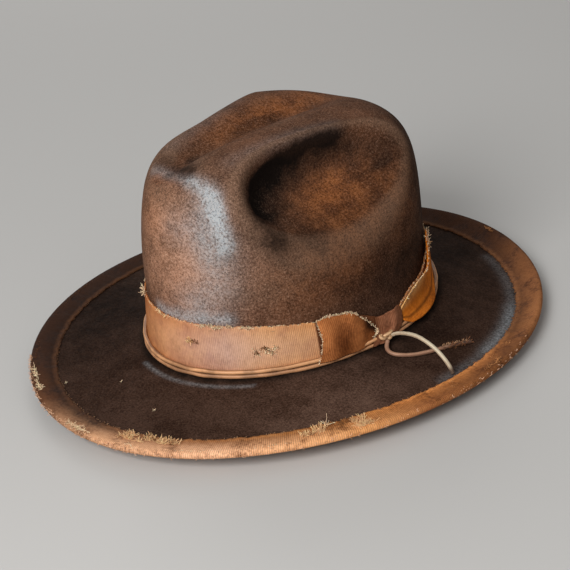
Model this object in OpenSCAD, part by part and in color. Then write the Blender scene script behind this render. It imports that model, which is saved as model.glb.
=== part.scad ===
// A felt hat with a creased crown, a curled brim with a folded ribbon binding, a grosgrain
// band with a side bow, a knotted lace, a leather sweatband and a satin lining.
// The wearer's face is towards -Y and the wearer's left is +X. Heights in the functions are
// measured from the brim break, the line where the crown turns into the brim, at mid felt.

/* [Felt crown] */
// Felt thickness of the crown and brim
felt_t = 2.8; // [2.2:0.1:3.4]
// Half width of the crown at the brim break, outside the felt
crown_half_w = 84.5; // [80:0.5:90]
// Half length of the crown at the brim break, outside the felt
crown_half_l = 101.8; // [97:0.5:108]
// Height of the crown above the brim break at its highest
crown_h = 134.5; // [125:0.5:145]
// How far each side wall draws in above the ribbon
side_draw = 4.5; // [2:0.5:7]
// How far the front and back walls draw in above the ribbon
end_draw = 1.6; // [0:0.2:4]
// Height over which the walls draw in
draw_h = 45; // [35:1:55]
// Egg shape of the plan: share by which the back is wider and the front narrower
egg = 0.06; // [0:0.01:0.1]
// Squareness of the shoulders, as the power of the crown's profile
shoulder = 6.4; // [5:0.1:8]
// Share by which the front is pinched in at the top
front_pinch = 0.19; // [0.05:0.01:0.25]
// How far in front of its centre the crown is highest
peak_ahead = 34; // [25:1:45]
// Height that the crown's top loses at its front edge
front_fall = 6.6; // [3:0.2:10]
// Height that the crown's top loses at its back edge
back_fall = 15; // [8:0.5:20]

/* [Creases] */
// Depth of the centre trough
trough_depth = 9; // [5:0.5:12]
// Half width of the centre trough
trough_half_w = 14; // [10:0.5:20]
// How far the trough lies to the wearer's right of the crown's middle
trough_aside = 9; // [0:0.5:12]
// Depth of the short crease behind the front lip
lip_depth = 3.5; // [2:0.5:6]
// How far the two side dents cut in from the crown's square corner
dent_cut = 54; // [48:0.5:58]
// Height of a dent's steep wall where it meets the ridge
dent_wall = 26; // [22:0.5:30]
// Radius over which the ridge round a dent is rounded off
dent_soft = 9; // [7:0.5:11]
// Height of a dent above its deepest part
dent_up = 33; // [29:0.5:37]
// Height over which a dent runs out below its deepest part
dent_down = 50; // [44:1:56]
// Length of a side dent in front of its deepest part
dent_front = 50; // [44:1:56]
// Length of a side dent behind its deepest part
dent_back = 100; // [85:1:110]
// Distance of the dents' deepest part in front of the crown's centre
dent_ahead = 18; // [10:1:24]
// Slope at which the dents are pressed in, below level
dent_slope = 48; // [44:1:52]
// How far the dents turn towards the wearer's face, in degrees
dent_yaw = 10; // [4:1:14]

/* [Brim] */
// Width of the brim at each side
brim_side = 71.2; // [60:0.2:80]
// Width of the brim in front
brim_front = 77.2; // [65:0.2:85]
// Width of the brim at the back
brim_back = 73.6; // [65:0.2:85]
// Drop of the rim below the brim break
rim_fall = 6.8; // [3:0.2:10]
// Height of the waves in the rim
rim_wave = 1.7; // [0:0.1:3]
// Width of the outer part of the brim that curls up
curl_w = 22; // [18:0.5:28]
// Curl of the rim all round, in degrees
rim_curl = 15; // [8:1:20]
// Extra curl at the rear left, in degrees
rear_left_curl = 22; // [10:1:26]
// Extra curl at the back, in degrees
rear_curl = 8; // [0:1:12]
// How much flatter the rim lies at the front left, in degrees
front_left_flat = 9; // [0:1:12]

/* [Binding] */
// Thickness of the binding ribbon
binding_t = 0.8; // [0.5:0.1:1.2]
// Width of the binding on the top of the brim, and again under it
binding_w = 15; // [10:0.5:18]
// Distance from the binding's inner edge to its row of stitches
binding_seam = 1.8; // [1:0.1:3]

/* [Ribbon band and bow] */
// Width of the grosgrain ribbon round the crown
ribbon_w = 35; // [28:0.5:40]
// Thickness of the grosgrain ribbon
ribbon_t = 1; // [0.6:0.1:1.4]
// Height of the ribbon's lower edge above the brim break
ribbon_foot = 3.4; // [3.2:0.1:5]
// How far the ribbon's top edge is pulled down behind the bow
ribbon_dip = 16; // [8:0.5:20]
// Fullness of the bow's front loop, outside the ribbon
loop_full = 3.6; // [2:0.2:6]
// Height of the bow's front loop at its fullest, above the brim break
loop_top = 33; // [28:0.5:38]
// Height of the top edge of the bow's wrap
wrap_top = 19; // [14:0.5:24]
// Height of the rear loop's tip
rear_tip = 46; // [38:0.5:50]

/* [Lace] */
// Diameter of the leather lace
lace_d = 2.8; // [2:0.1:3.4]
// Thickness of the knot beyond the lace, each side
knot_full = 1.1; // [0.6:0.1:1.6]

/* [Sweatband and lining] */
// Thickness of the sweatband leather
leather_t = 1.2; // [0.8:0.1:1.6]
// Height of the sweatband
sweatband_h = 44; // [38:0.5:48]
// Diameter of the reed inside the sweatband's lower edge
reed_d = 1.6; // [1.2:0.1:2]
// Thickness of the tape that covers the reed
tape_t = 0.35; // [0.3:0.05:0.5]
// Height of the tape's outer leg behind the sweatband
tape_leg = 9; // [6:0.5:12]
// Thickness of the satin lining
satin_t = 0.4; // [0.3:0.05:0.6]
// Diameter of the lining's piping
piping_d = 2; // [1.5:0.1:3]
// Width of the little bow at the back of the sweatband
rear_bow_w = 24; // [18:1:30]

/* [Fits] */
// Clearance between layers that lie against each other
lie_gap = 0.2; // [0.15:0.05:0.3]
// Clearance between the lining and the felt
lining_gap = 0.8; // [0.5:0.1:1.2]

/* [Hidden] */

columns = 64;
thread_d = 0.5;
step = 360 / columns;
angles = [for (j = [0:columns - 1]) j * step];
half_t = felt_t / 2;
crown_y = (brim_front - brim_back) / 2;
rim_half_w = crown_half_w + brim_side;
rim_half_l = crown_half_l + (brim_front + brim_back) / 2;

// ---- Plain maths ----
function smooth(a, b, v) = let (t = min(1, max(0, (v - a) / (b - a)))) t * t * (3 - 2 * t);
function bell(v, width) = exp(-pow(v / width, 2));
function turned(a, centre) = let (d = a - centre) d - 360 * round(d / 360);
function unit(v) = v / max(norm(v), 1e-9);
function last(v) = len(v) - 1;

// ---- Plan of the crown: a is the angle round it, h its height and r its radius as shares ----
function pinch(h, y) = 1 - front_pinch * smooth(0.35, 1, h) * smooth(0, 1, -y / crown_half_l);
function plan_xy(a, h, r) =
    let (
        draw = smooth(0, draw_h, h * crown_h),
        y = (crown_half_l - end_draw * draw) * r * sin(a)
    ) [(crown_half_w - side_draw * draw) * r * cos(a) * (1 + egg * sin(a)) * pinch(h, y), y];

// ---- Crown surface: f runs from 0 at the base to 90 at the middle of the top ----
function at_height(h) = asin(pow(h, shoulder / 2));
function at_radius(r) = acos(pow(r, shoulder / 2));
function top_height(y) = crown_h
    - front_fall * pow(max(0, -y - peak_ahead) / (crown_half_l - peak_ahead), 2)
    - back_fall * pow(max(0, y + peak_ahead) / (crown_half_l + peak_ahead), 2);
// Centre trough, narrower in front, and the short crease that crosses its front end
lip_y = -0.79 * crown_half_l;
lip_w = 8.7;
lip_half_l = 18;
function trough_w(v) = trough_half_w * (0.6 + 0.4 * smooth(-0.83, -0.2, v));
function trough(x, y, h) =
    let (v = y / crown_half_l, aside = x + trough_aside)
    smooth(0.84, 0.97, h) * (
        trough_depth * smooth(-0.88, -0.55, v) * (1 - smooth(0.35, 0.88, v)) * bell(aside, trough_w(v))
        + lip_depth * bell(y - lip_y, lip_w) * exp(-pow(aside / lip_half_l, 4)));
// A side dent is a scoop out of the crown's corner: steep above and in front, it runs out below.
// The tilt is the slope of its floor, and past its deepest part its wall rises with the cube
dent_tilt = 0.2;
dent_low_soft = 5;
half_side = crown_half_w * cos(dent_yaw);
function dent(x, y, z) =
    let (
        side = abs(x) * cos(dent_yaw) - y * sin(dent_yaw) - half_side,
        along = abs(x) * sin(dent_yaw) + y * cos(dent_yaw) + dent_ahead,
        rise = (z - crown_h) * cos(dent_slope) - side * sin(dent_slope),
        out = side * cos(dent_slope) + (z - crown_h) * sin(dent_slope) + dent_cut,
        q = norm([max(0, rise) / dent_up, along / (along < 0 ? dent_front : dent_back)]),
        soft = dent_soft + dent_low_soft * smooth(0, dent_down, -rise),
        over = max(0, out + soft - dent_tilt * max(0, -rise) - dent_wall * pow(q, 3))
    ) over < 2 * soft ? over * over / (4 * soft) : over - soft;
dent_way = [cos(dent_slope) * cos(dent_yaw), -cos(dent_slope) * sin(dent_yaw), sin(dent_slope)];
function crown_point(a, f) =
    let (
        h = pow(sin(f), 2 / shoulder),
        p = plan_xy(a, h, pow(max(0, cos(f)), 2 / shoulder)),
        z = h * top_height(p[1]),
        push = dent(p[0], p[1], z)
    ) [p[0] - sign(p[0]) * push * dent_way[0], p[1] - push * dent_way[1],
       z - push * dent_way[2] - trough(p[0], p[1], h)];

// Rings of the crown's mesh: shares of its height, then shares of its radius on the top
foot_h = 3.2 / crown_h;
side_shares = [foot_h, 0.07, 0.15, 0.3, 0.42, 0.52, 0.61, 0.69, 0.76, 0.82, 0.87, 0.91, 0.945, 0.972];
top_shares = [0.7, 0.64, 0.58, 0.52, 0.45, 0.33, 0.17];
crown_levels = concat([for (h = side_shares) at_height(h)], [for (r = top_shares) at_radius(r)]);
crown_grid = [for (f = crown_levels) [for (a = angles) crown_point(a, f)]];
pole = crown_point(0, 90);
function grid_normal(i, j) =
    let (
        before = (j + columns - 1) % columns,
        after = (j + 1) % columns,
        up = min(i + 1, last(crown_grid)),
        down = max(i - 1, 0)
    ) unit(cross(crown_grid[i][after] - crown_grid[i][before], crown_grid[up][j] - crown_grid[down][j]));
crown_normals = [for (i = [0:last(crown_grid)]) [for (j = [0:columns - 1]) grid_normal(i, j)]];
function crown_ring(i, d) = [for (j = [0:columns - 1]) crown_grid[i][j] + d * crown_normals[i][j]];
function crown_pole(d) = pole + [0, 0, d];

// ---- Crown wall below the dents: z above the brim break, d outside the felt ----
function wall_xy(a, z) = let (h = max(0, z) / crown_h) plan_xy(a, h, pow(1 - pow(h, shoulder), 1 / shoulder));
function wall_out(a, z) = let (t = wall_xy(a + 0.5, z) - wall_xy(a - 0.5, z)) unit([t[1], -t[0]]);
function wall_point(a, z, d) = let (p = wall_xy(a, z) + d * wall_out(a, z)) [p[0], p[1], z];

// ---- Brim: s runs from 0 at the crown to 1 at the rim, d is above mid felt ----
// Where each change of curl is centred, and how far it spreads, in degrees
rear_left_at = [48, 42];
rear_at = [100, 40];
front_left_at = [-40, 45];
function near(a, at) = bell(turned(a, at[0]), at[1]);
function curl(a) = rim_curl + rear_left_curl * near(a, rear_left_at)
    + rear_curl * near(a, rear_at) - front_left_flat * near(a, front_left_at);
function rim_z(a) = -rim_fall - rim_wave * (0.7 * sin(a) + sin(3 * a));
function brim_foot(a) = wall_xy(a, 0);
function brim_rim(a) = [rim_half_w * cos(a), rim_half_l * sin(a) - crown_y];
function brim_width(a) = norm(brim_rim(a) - brim_foot(a));
function brim_z(a, s) =
    let (
        w = brim_width(a),
        lift = curl_w / 2 * tan(curl(a)),
        t = max(0, 1 + (s - 1) * w / curl_w)
    ) (rim_z(a) - lift) * sin(90 * s) + lift * t * t;
function brim_mid(a, s) = let (p = brim_foot(a) * (1 - s) + brim_rim(a) * s) [p[0], p[1], brim_z(a, s)];
function brim_along(a, s) = unit(brim_mid(a, s + 0.01) - brim_mid(a, s - 0.01));
function brim_up(a, s) =
    let (t = brim_along(a, s), flat = unit([t[0], t[1]]))
    [-t[2] * flat[0], -t[2] * flat[1], norm([t[0], t[1]])];
function brim_point(a, s, d) = brim_mid(a, s) + d * brim_up(a, s);
function rim_point(a, r, turn) =
    brim_mid(a, 1) + r * (sin(turn) * brim_up(a, 1) + cos(turn) * brim_along(a, 1));
function from_rim(a, w) = 1 - w / brim_width(a);
// Rings of the brim's mesh: shares of its width, then distances from the rim
brim_shares = [0.16, 0.29, 0.42, 0.53, 0.63];
rim_steps = [binding_w + 5, binding_w, binding_w * 2 / 3, binding_w / 3, 0];
function brim_ring(s, d) = [for (a = angles) brim_point(a, s, d)];
function rim_ring(w, d) = [for (a = angles) brim_point(a, from_rim(a, w), d)];
function edge_ring(r, turn) = [for (a = angles) rim_point(a, r, turn)];
function brim_rings(d) = concat(
    [for (s = brim_shares) brim_ring(s, d)],
    [for (w = rim_steps) rim_ring(w, d)]);

// The binding lies on both faces of the felt and round its edge
binding_in = half_t + lie_gap;
binding_out = binding_in + binding_t;
edge_turns = [50, 0, -50];
function binding_side(d) = [for (i = [1:last(rim_steps)]) rim_ring(rim_steps[i], d)];
binding_under = concat(binding_side(-binding_out), [edge_ring(binding_out, -50)]);
// Height of the brim break above the plane that the bound brim rests on
base_z = -min([for (ring = binding_under) for (p = ring) p[2]]);

// ---- Meshes: rings are lists of points, going outwards and then back ----
function flat(v) = [for (a = v) for (b = a) b];
function turn_back(v) = [for (i = [last(v):-1:0]) v[i]];
// The faces between rings i and k of n points, each split along the diagonal that lies further
// from the crown's middle, so that ridges stay whole and the layers of a wall stay parallel
crown_middle = [0, 0, crown_h / 2];
function quads(points, i, k, n) = [
    for (j = [0:n - 1])
        let (
            m = (j + 1) % n,
            a = i * n + j, b = i * n + m, c = k * n + m, d = k * n + j,
            bulge = points[a] + points[c] - points[b] - points[d],
            plain = bulge * (crown_middle - points[a]) <= 0
        )
        for (t = plain ? [[a, b, c], [a, c, d]] : [[a, b, d], [b, c, d]]) t];
// A closed skin from one pole, over the rings, to the other pole
module capped(first, rings, end) {
    n = len(rings[0]);
    top = len(rings) * n;
    points = concat(flat(rings), [first, end]);
    polyhedron(points, concat(
        [for (j = [0:n - 1]) [top, (j + 1) % n, j]],
        flat([for (i = [0:last(rings) - 1]) quads(points, i, i + 1, n)]),
        [for (j = [0:n - 1]) [top + 1, last(rings) * n + j, last(rings) * n + (j + 1) % n]]));
}
// A closed band, from rings that come back to the first one
module band(rings) {
    points = flat(rings);
    n = len(rings[0]);
    polyhedron(points, flat([for (i = [0:last(rings)]) quads(points, i, (i + 1) % len(rings), n)]));
}
// A bar through a row of equal sections, with flat ends
module bar(sections) {
    points = flat(sections);
    n = len(sections[0]);
    polyhedron(points, concat(
        flat([for (i = [0:last(sections) - 1]) quads(points, i, i + 1, n)]),
        [[for (j = [n - 1:-1:0]) j], [for (j = [0:n - 1]) last(sections) * n + j]]));
}
// Rings round the wall, from a section given as [height, offset] pairs
function wall_ring(z, d) = [for (a = angles) wall_point(a, z, d)];
function wall_rings(pairs) = [for (p = pairs) wall_ring(p[0], p[1])];
// Short straight stitches of length l, each at its own frame: point, along and up
module stitch(point, along, up, l) {
    side = cross(up, along);
    multmatrix([[along[0], side[0], up[0], point[0]], [along[1], side[1], up[1], point[1]],
                [along[2], side[2], up[2], point[2]], [0, 0, 0, 1]])
        translate([-l / 2, -thread_d / 2, 0]) cube([l, thread_d, thread_d]);
}

// ---- Felt body: crown and brim are one continuous piece of felt ----
break_w = 4;
wall_low = 2.6;
function break_ring(d) = [for (a = angles) brim_point(a, break_w / brim_width(a), d)];
module felt_body() color([0.22, 0.15, 0.12]) translate([0, crown_y, base_z]) {
    crown_rows = last(crown_grid);
    capped(crown_pole(0), concat(
        [for (i = [crown_rows:-1:0]) crown_ring(i, 0)],
        [wall_ring(half_t + 0.7, 0.4), break_ring(half_t)],
        brim_rings(half_t),
        [edge_ring(half_t, 40), edge_ring(half_t, -40)],
        turn_back(brim_rings(-half_t)),
        [break_ring(-half_t)],
        wall_rings([[-half_t, -0.8], [0, 0.6 - felt_t], [wall_low, -felt_t]]),
        [for (i = [1:crown_rows]) crown_ring(i, -felt_t)]),
        crown_pole(-felt_t));
}

// ---- Binding: a ribbon folded over the rim ----
module brim_binding() color([0.66, 0.42, 0.24]) translate([0, crown_y, base_z])
    band(concat(
        binding_side(binding_out), [for (t = edge_turns) edge_ring(binding_out, t)],
        turn_back(binding_side(-binding_out)), binding_side(-binding_in),
        [for (t = turn_back(edge_turns)) edge_ring(binding_in, t)], turn_back(binding_side(binding_in))));

binding_pitch = 8;
module binding_stitches() color([0.55, 0.36, 0.2]) translate([0, crown_y, base_z]) {
    count = round(PI * (rim_half_w + rim_half_l) / binding_pitch);
    for (k = [0:count - 1]) {
        a = 360 * k / count;
        s = from_rim(a, binding_w - binding_seam);
        along = unit(brim_mid(a + 0.2, from_rim(a + 0.2, binding_w - binding_seam)) - brim_mid(a, s));
        up = unit(brim_up(a, s) - along * (brim_up(a, s) * along));
        stitch(brim_point(a, s, binding_out + lie_gap), along, up, binding_pitch / 2);
    }
}

// ---- Ribbon band: its top edge is pulled down where the bow gathers it ----
dip_at = 3;
dip_front = 27;
dip_back = 20;
ribbon_out = lie_gap + ribbon_t;
function ribbon_top(a) =
    let (from_dip = turned(a, dip_at))
    ribbon_foot + ribbon_w - ribbon_dip * bell(from_dip, from_dip < 0 ? dip_front : dip_back);
function ribbon_ring(share, d) =
    [for (a = angles) wall_point(a, ribbon_foot + share * (ribbon_top(a) - ribbon_foot), d)];
ribbon_shares = [0, 0.35, 0.7, 1];
module ribbon_band() color([0.72, 0.46, 0.3]) translate([0, crown_y, base_z])
    band(concat(
        [for (v = ribbon_shares) ribbon_ring(v, lie_gap)],
        [for (v = turn_back(ribbon_shares)) ribbon_ring(v, ribbon_out)]));

tack_angles = [-150, -110, -70, -45, 75, 120, 165];
tack_inset = 3;
tack_l = 3;
module ribbon_tacks() color([0.75, 0.55, 0.35]) translate([0, crown_y, base_z])
    for (a = tack_angles) {
        z = ribbon_top(a) - tack_inset;
        out = wall_out(a, z);
        stitch(wall_point(a, z, ribbon_out + lie_gap), [-out[1], out[0], 0], [out[0], out[1], 0], tack_l);
    }

// ---- Bow: its pieces follow the wall, and each is a folded ribbon that bulges by full ----
bow_in = ribbon_out + lie_gap;
bow_foot = ribbon_foot + 4.6;
fold_t = 2 * ribbon_t;
loop_from = -30;
loop_to = -5;
wrap_to = 9.5;
rear_to = 43;
bow_space = 0.3;
function bow_section(a, foot, top, full) =
    let (mid = (foot + top) / 2, belly = bow_in + full, edge = bow_in + full * 0.45)
    [wall_point(a, foot, edge), wall_point(a, (mid + foot) / 2, belly), wall_point(a, (mid + top) / 2, belly),
     wall_point(a, top, edge), wall_point(a, top, bow_in),
     wall_point(a, mid, bow_in), wall_point(a, foot, bow_in)];
module bow_front_loop() color([0.7, 0.42, 0.22]) translate([0, crown_y, base_z])
    bar([for (k = [0:8])
        let (
            t = k / 8,
            crest = bow_foot + (loop_top - bow_foot) * (0.9 + 0.1 * sin(180 * t)),
            top = crest - (loop_top - wrap_top) * smooth(0.55, 1, t)
        ) bow_section(loop_from + t * (loop_to - loop_from - bow_space), bow_foot, top,
            fold_t + (loop_full - fold_t) * sin(180 * t))]);
wrap_full = 0.8;
wrap_rise = 2;
module bow_wrap() color([0.5, 0.3, 0.2]) translate([0, crown_y, base_z])
    bar([for (k = [0:4])
        let (t = k / 4)
        bow_section(loop_to + t * (wrap_to - loop_to - bow_space), bow_foot, wrap_top + wrap_rise * t,
            fold_t + wrap_full * sin(180 * t))]);
rear_full = 2;
rear_foot = 24;
module bow_rear_loop() color([0.78, 0.45, 0.15]) translate([0, crown_y, base_z])
    bar([for (k = [0:10])
        let (
            t = k / 10,
            low = wrap_top + wrap_rise,
            top = low + (rear_tip - low) * pow(t, 0.8)
        ) bow_section(wrap_to + t * (rear_to - wrap_to), bow_foot + rear_foot * smooth(0.55, 1, t), top,
            fold_t + rear_full * sin(180 * t))]);

// ---- Lace: two turns round the ribbon's foot, a knot and two free ends ----
lace_r = lace_d / 2;
lace_off = ribbon_out + lie_gap + lace_r;
lower_z = half_t + 0.6 + lace_r;
upper_z = lower_z + lace_d + lie_gap;
knot_a = -3.4;
knot_half = 2.3;
// Round section of radius r across the direction t, n points
function round_section(p, t, r, n) =
    let (side = unit(cross(t, [0, 0, 1])), up = cross(side, t))
    [for (k = [0:n - 1]) p + r * (cos(360 * k / n) * side + sin(360 * k / n) * up)];
function path_dir(path, i) = unit(path[min(i + 1, last(path))] - path[max(i - 1, 0)]);
function sweep(path, r) = [for (i = [0:last(path)]) round_section(path[i], path_dir(path, i), r, 8)];
function lace_path(z, from, to, n) =
    [for (k = [0:n]) wall_point(from + (to - from) * k / n, z, lace_off)];
module lace_lower_turn() color([0.5, 0.27, 0.18]) translate([0, crown_y, base_z])
    band([for (q = [0:7]) wall_ring(lower_z + lace_r * sin(-45 * q), lace_off + lace_r * cos(-45 * q))]);
module lace_upper_turn() color([0.68, 0.45, 0.32]) translate([0, crown_y, base_z])
    bar(sweep(lace_path(upper_z, knot_a + knot_half, 360 + knot_a - knot_half, columns), lace_r));

// Routes of the two free ends, from the brim break: x, y, z of points on the centre line
arched_route = [[92.6, -4.9, 7.6], [95.5, -4.9, 9.3], [99, -4.8, 10.6], [103, -4.6, 11.5],
    [107, -4.5, 12], [111, -4.4, 12], [115, -4.3, 11.4], [119, -4.2, 10.2], [123, -4, 8.4],
    [127, -3.8, 6], [130.5, -3.7, 3.2], [133.5, -3.6, 0.3], [136, -3.4, -3.2], [137.6, -3.2, -6.9]];
lying_route = [[91, -8, 4.6], [91.8, -10, 3], [93.2, -11.8, 1.8], [95.2, -13, 1], [97.8, -13.4, 0.3],
    [100.8, -12.3, -0.4], [104, -9.8, -1], [107.2, -6, -1.7], [109.8, -1.4, -2.4], [112, 3.6, -3],
    [113.7, 9, -3.7], [115.1, 14.4, -4.4], [116.5, 19.8, -5.1], [118, 25.2, -5.9],
    [119.8, 30.4, -6.7], [121.8, 35.2, -7.5]];
module lace_arched_end() color([0.9, 0.82, 0.66]) translate([0, crown_y, base_z])
    bar(sweep(arched_route, lace_r));
module lace_lying_end() color([0.78, 0.6, 0.48]) translate([0, crown_y, base_z])
    bar(sweep(lying_route, lace_r));

// The knot bulges on the upper turn, and the free ends leave it at their routes' first points
knot_rise = 0.5;
knot_out = 2;
knot_space = 0.2;
function knot_point(t) =
    let (swell = pow(sin(180 * t), 2))
    wall_point(knot_a + (knot_half - knot_space) * (2 * t - 1), upper_z + knot_rise * swell,
        lace_off + knot_out * swell);
module knot_neck(route) {
    leave = path_dir(route, 0);
    bar([for (p = [knot_point(0.5), route[0]]) round_section(p, leave, lace_r, 8)]);
}
module lace_knot() color([0.8, 0.62, 0.46]) translate([0, crown_y, base_z]) {
    path = [for (k = [0:8]) knot_point(k / 8)];
    bar([for (i = [0:8])
        round_section(path[i], path_dir(path, i), lace_r + knot_full * sin(180 * i / 8), 8)]);
    knot_neck(arched_route);
    knot_neck(lying_route);
}

// ---- Sweatband: leather on a reed that a tape holds at the brim break ----
// Offsets are from the outside of the wall, inwards negative
lining_off = -felt_t - lining_gap;
tape_out = -felt_t - lie_gap;
tape_r = reed_d / 2 + lie_gap;
reed_off = tape_out - tape_t - tape_r;
reed_z = -half_t - 0.2;
tape_in = reed_off - tape_r;
leather_out = lining_off - satin_t - 2 * lie_gap;
leather_in = leather_out - leather_t;
leather_foot = reed_z + tape_r;
// The leather bends at the same heights as the felt behind it
leather_levels = concat([leather_foot],
    [for (h = side_shares) if (h > foot_h && h * crown_h < sweatband_h - 2) h * crown_h], [sweatband_h]);
module sweatband() color([0.45, 0.28, 0.16]) translate([0, crown_y, base_z])
    band(wall_rings(concat(
        [for (z = leather_levels) [z, leather_in]],
        [for (z = turn_back(leather_levels)) [z, leather_out]])));
module sweatband_reed() color([0.85, 0.83, 0.78]) translate([0, crown_y, base_z])
    band(wall_rings([for (q = [0:5])
        [reed_z - reed_d / 2 * sin(60 * q), reed_off + reed_d / 2 * cos(60 * q)]]));
// The tape's fold under the reed, from its outer leg to its inner one
function tape_fold(r) = [for (q = [0:3]) [reed_z - r * sin(60 * q), reed_off + r * cos(60 * q)]];
tape_top = leather_foot - lie_gap;
module reed_tape() color([0.75, 0.7, 0.6]) translate([0, crown_y, base_z])
    band(wall_rings(concat(
        [[tape_leg, tape_out]], tape_fold(tape_r + tape_t),
        [[tape_top, tape_in - tape_t], [tape_top, tape_in]],
        turn_back(tape_fold(tape_r)), [[tape_leg, tape_out - tape_t]])));
seam_w = 10;
seam_t = 0.6;
module sweatband_seam() color([0.4, 0.24, 0.14]) translate([0, crown_y, base_z]) {
    half = atan(seam_w / 2 / crown_half_w);
    out = leather_in - lie_gap;
    bar([for (z = [leather_foot + 1, sweatband_h / 2, sweatband_h - 1]) concat(
        [for (a = [90 - half, 90, 90 + half]) wall_point(a, z, out - seam_t)],
        [for (a = [90 + half, 90, 90 - half]) wall_point(a, z, out)])]);
}
// The little bow lies over the rear seam and bends with the leather
bow_h = 9;
bow_t = 1.2;
bow_z = 12;
bow_shares = [-1, -0.2, 0.2, 1];
module sweatband_bow() color([0.35, 0.22, 0.16]) translate([0, crown_y, base_z]) {
    out = leather_in - 2 * lie_gap - seam_t;
    bar([for (v = bow_shares)
        let (
            a = 90 + v * atan(rear_bow_w / 2 / crown_half_w),
            half = bow_h / 2 * (0.4 + 0.6 * abs(v))
        ) [wall_point(a, bow_z - half, out - bow_t), wall_point(a, bow_z - half, out),
           wall_point(a, bow_z + half, out), wall_point(a, bow_z + half, out - bow_t)]]);
}
reed_pitch = 9;
seam_z = 1.5;
seam_clear = 6;
module sweatband_stitches() color([0.85, 0.75, 0.6]) translate([0, crown_y, base_z]) {
    count = round(PI * (crown_half_w + crown_half_l + 2 * leather_in) / reed_pitch);
    for (a = [for (k = [0:count - 1]) 360 * k / count])
        if (abs(turned(a, 90)) > seam_clear) {
            out = wall_out(a, seam_z);
            stitch(wall_point(a, seam_z, leather_in - lie_gap), [out[1], -out[0], 0], [-out[0], -out[1], 0],
                reed_pitch / 2);
        }
}

// ---- Lining: a side band, a piping and an oval tip follow the inside of the crown ----
liner_foot = 2;
liner_seam = 13;
module liner_side() color([0.35, 0.2, 0.14]) translate([0, crown_y, base_z])
    band(concat(
        [for (i = [liner_foot:liner_seam]) crown_ring(i, lining_off - satin_t)],
        [for (i = [liner_seam:-1:liner_foot]) crown_ring(i, lining_off)]));
module liner_tip() color([0.38, 0.22, 0.15]) translate([0, crown_y, base_z]) {
    top = last(crown_grid);
    capped(crown_pole(lining_off), concat(
        [for (i = [top:-1:liner_seam + 2]) crown_ring(i, lining_off)],
        [for (i = [liner_seam + 2:top]) crown_ring(i, lining_off - satin_t)]),
        crown_pole(lining_off - satin_t));
}
piping_row = liner_seam + 1;
piping_r = piping_d / 2;
function piping_point(j, q) =
    let (along_wall = unit(crown_grid[liner_seam][j] - crown_grid[liner_seam + 2][j]))
    crown_grid[piping_row][j] + piping_r * cos(60 * q) * along_wall
        + (lining_off - piping_r - piping_r * sin(60 * q)) * crown_normals[piping_row][j];
module liner_piping() color([0.6, 0.4, 0.25]) translate([0, crown_y, base_z])
    band([for (q = [0:5]) [for (j = [0:columns - 1]) piping_point(j, q)]]);

felt_body();
brim_binding();
binding_stitches();
ribbon_band();
ribbon_tacks();
bow_front_loop();
bow_wrap();
bow_rear_loop();
lace_upper_turn();
lace_lower_turn();
lace_knot();
lace_arched_end();
lace_lying_end();
sweatband();
sweatband_seam();
sweatband_bow();
sweatband_stitches();
sweatband_reed();
reed_tape();
liner_side();
liner_piping();
liner_tip();
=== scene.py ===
import math
import bpy
import numpy as np
from mathutils import Matrix, Vector


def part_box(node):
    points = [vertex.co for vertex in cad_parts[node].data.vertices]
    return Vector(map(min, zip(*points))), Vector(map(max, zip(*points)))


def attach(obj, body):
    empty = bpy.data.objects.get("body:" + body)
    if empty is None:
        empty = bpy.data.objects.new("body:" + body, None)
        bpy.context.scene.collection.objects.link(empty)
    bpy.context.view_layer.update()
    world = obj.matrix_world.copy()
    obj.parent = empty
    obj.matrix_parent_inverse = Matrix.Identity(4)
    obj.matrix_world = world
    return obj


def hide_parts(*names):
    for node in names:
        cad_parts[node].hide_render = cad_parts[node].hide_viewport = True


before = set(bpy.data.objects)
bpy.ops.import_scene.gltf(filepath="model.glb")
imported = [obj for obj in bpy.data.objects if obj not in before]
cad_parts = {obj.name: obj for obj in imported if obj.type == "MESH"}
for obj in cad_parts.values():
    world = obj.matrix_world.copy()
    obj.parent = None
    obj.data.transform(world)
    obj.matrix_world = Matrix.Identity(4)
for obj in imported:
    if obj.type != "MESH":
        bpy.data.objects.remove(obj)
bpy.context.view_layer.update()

# ---- View and light ------------------------------------------------------------------------
# The hat is seen from its front left and from above, through a long lens that is tilted a
# little. Sizes along the hat are in millimetres from the brim break at the crown's centre,
# the line where the crown turns into the brim, and place() turns them into the frame's metres.
scene = bpy.context.scene
ribbon_foot = 3.4
crown_y = 1.8
brim_break = np.array([0, crown_y / 1000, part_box("ribbon_band")[0][2] - ribbon_foot / 1000])


def place(points):
    return np.asarray(points, float) / 1000 + brim_break


def way_out(angle, height):
    """The direction away from the hat at an angle round it, 0 in front, and a height, in degrees."""
    a, e = math.radians(angle), math.radians(height)
    return Vector((math.sin(a) * math.cos(e), -math.cos(a) * math.cos(e), math.sin(e)))


camera_angle, camera_height, camera_tilt = 45.59, 27.2, math.radians(-6.49)
camera_distance = 1.158
back = way_out(camera_angle, camera_height)
level = way_out(camera_angle + 90, 0)
across = math.cos(camera_tilt) * level + math.sin(camera_tilt) * back.cross(level)
camera_data = bpy.data.cameras.new("camera")
camera = bpy.data.objects.new("camera", camera_data)
camera_data.sensor_width = 36
camera_data.lens = 111.1
camera_data.shift_x = -0.0087
camera_data.shift_y = 0.0366
camera_data.clip_end = 20
camera.matrix_world = (Matrix.Translation(Vector(brim_break) + back * camera_distance)
                       @ Matrix((across, back.cross(across), back)).transposed().to_4x4())
scene.collection.objects.link(camera)
scene.camera = camera
scene.view_settings.view_transform = "Standard"

world = bpy.data.worlds.new("room")
scene.world = world
world.use_nodes = True
room = world.node_tree.nodes["Background"]
room.inputs["Color"].default_value = (1, 0.99, 0.97, 1)
room.inputs["Strength"].default_value = 0.3
crown_middle = Vector((0, 0, 0.07))


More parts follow.
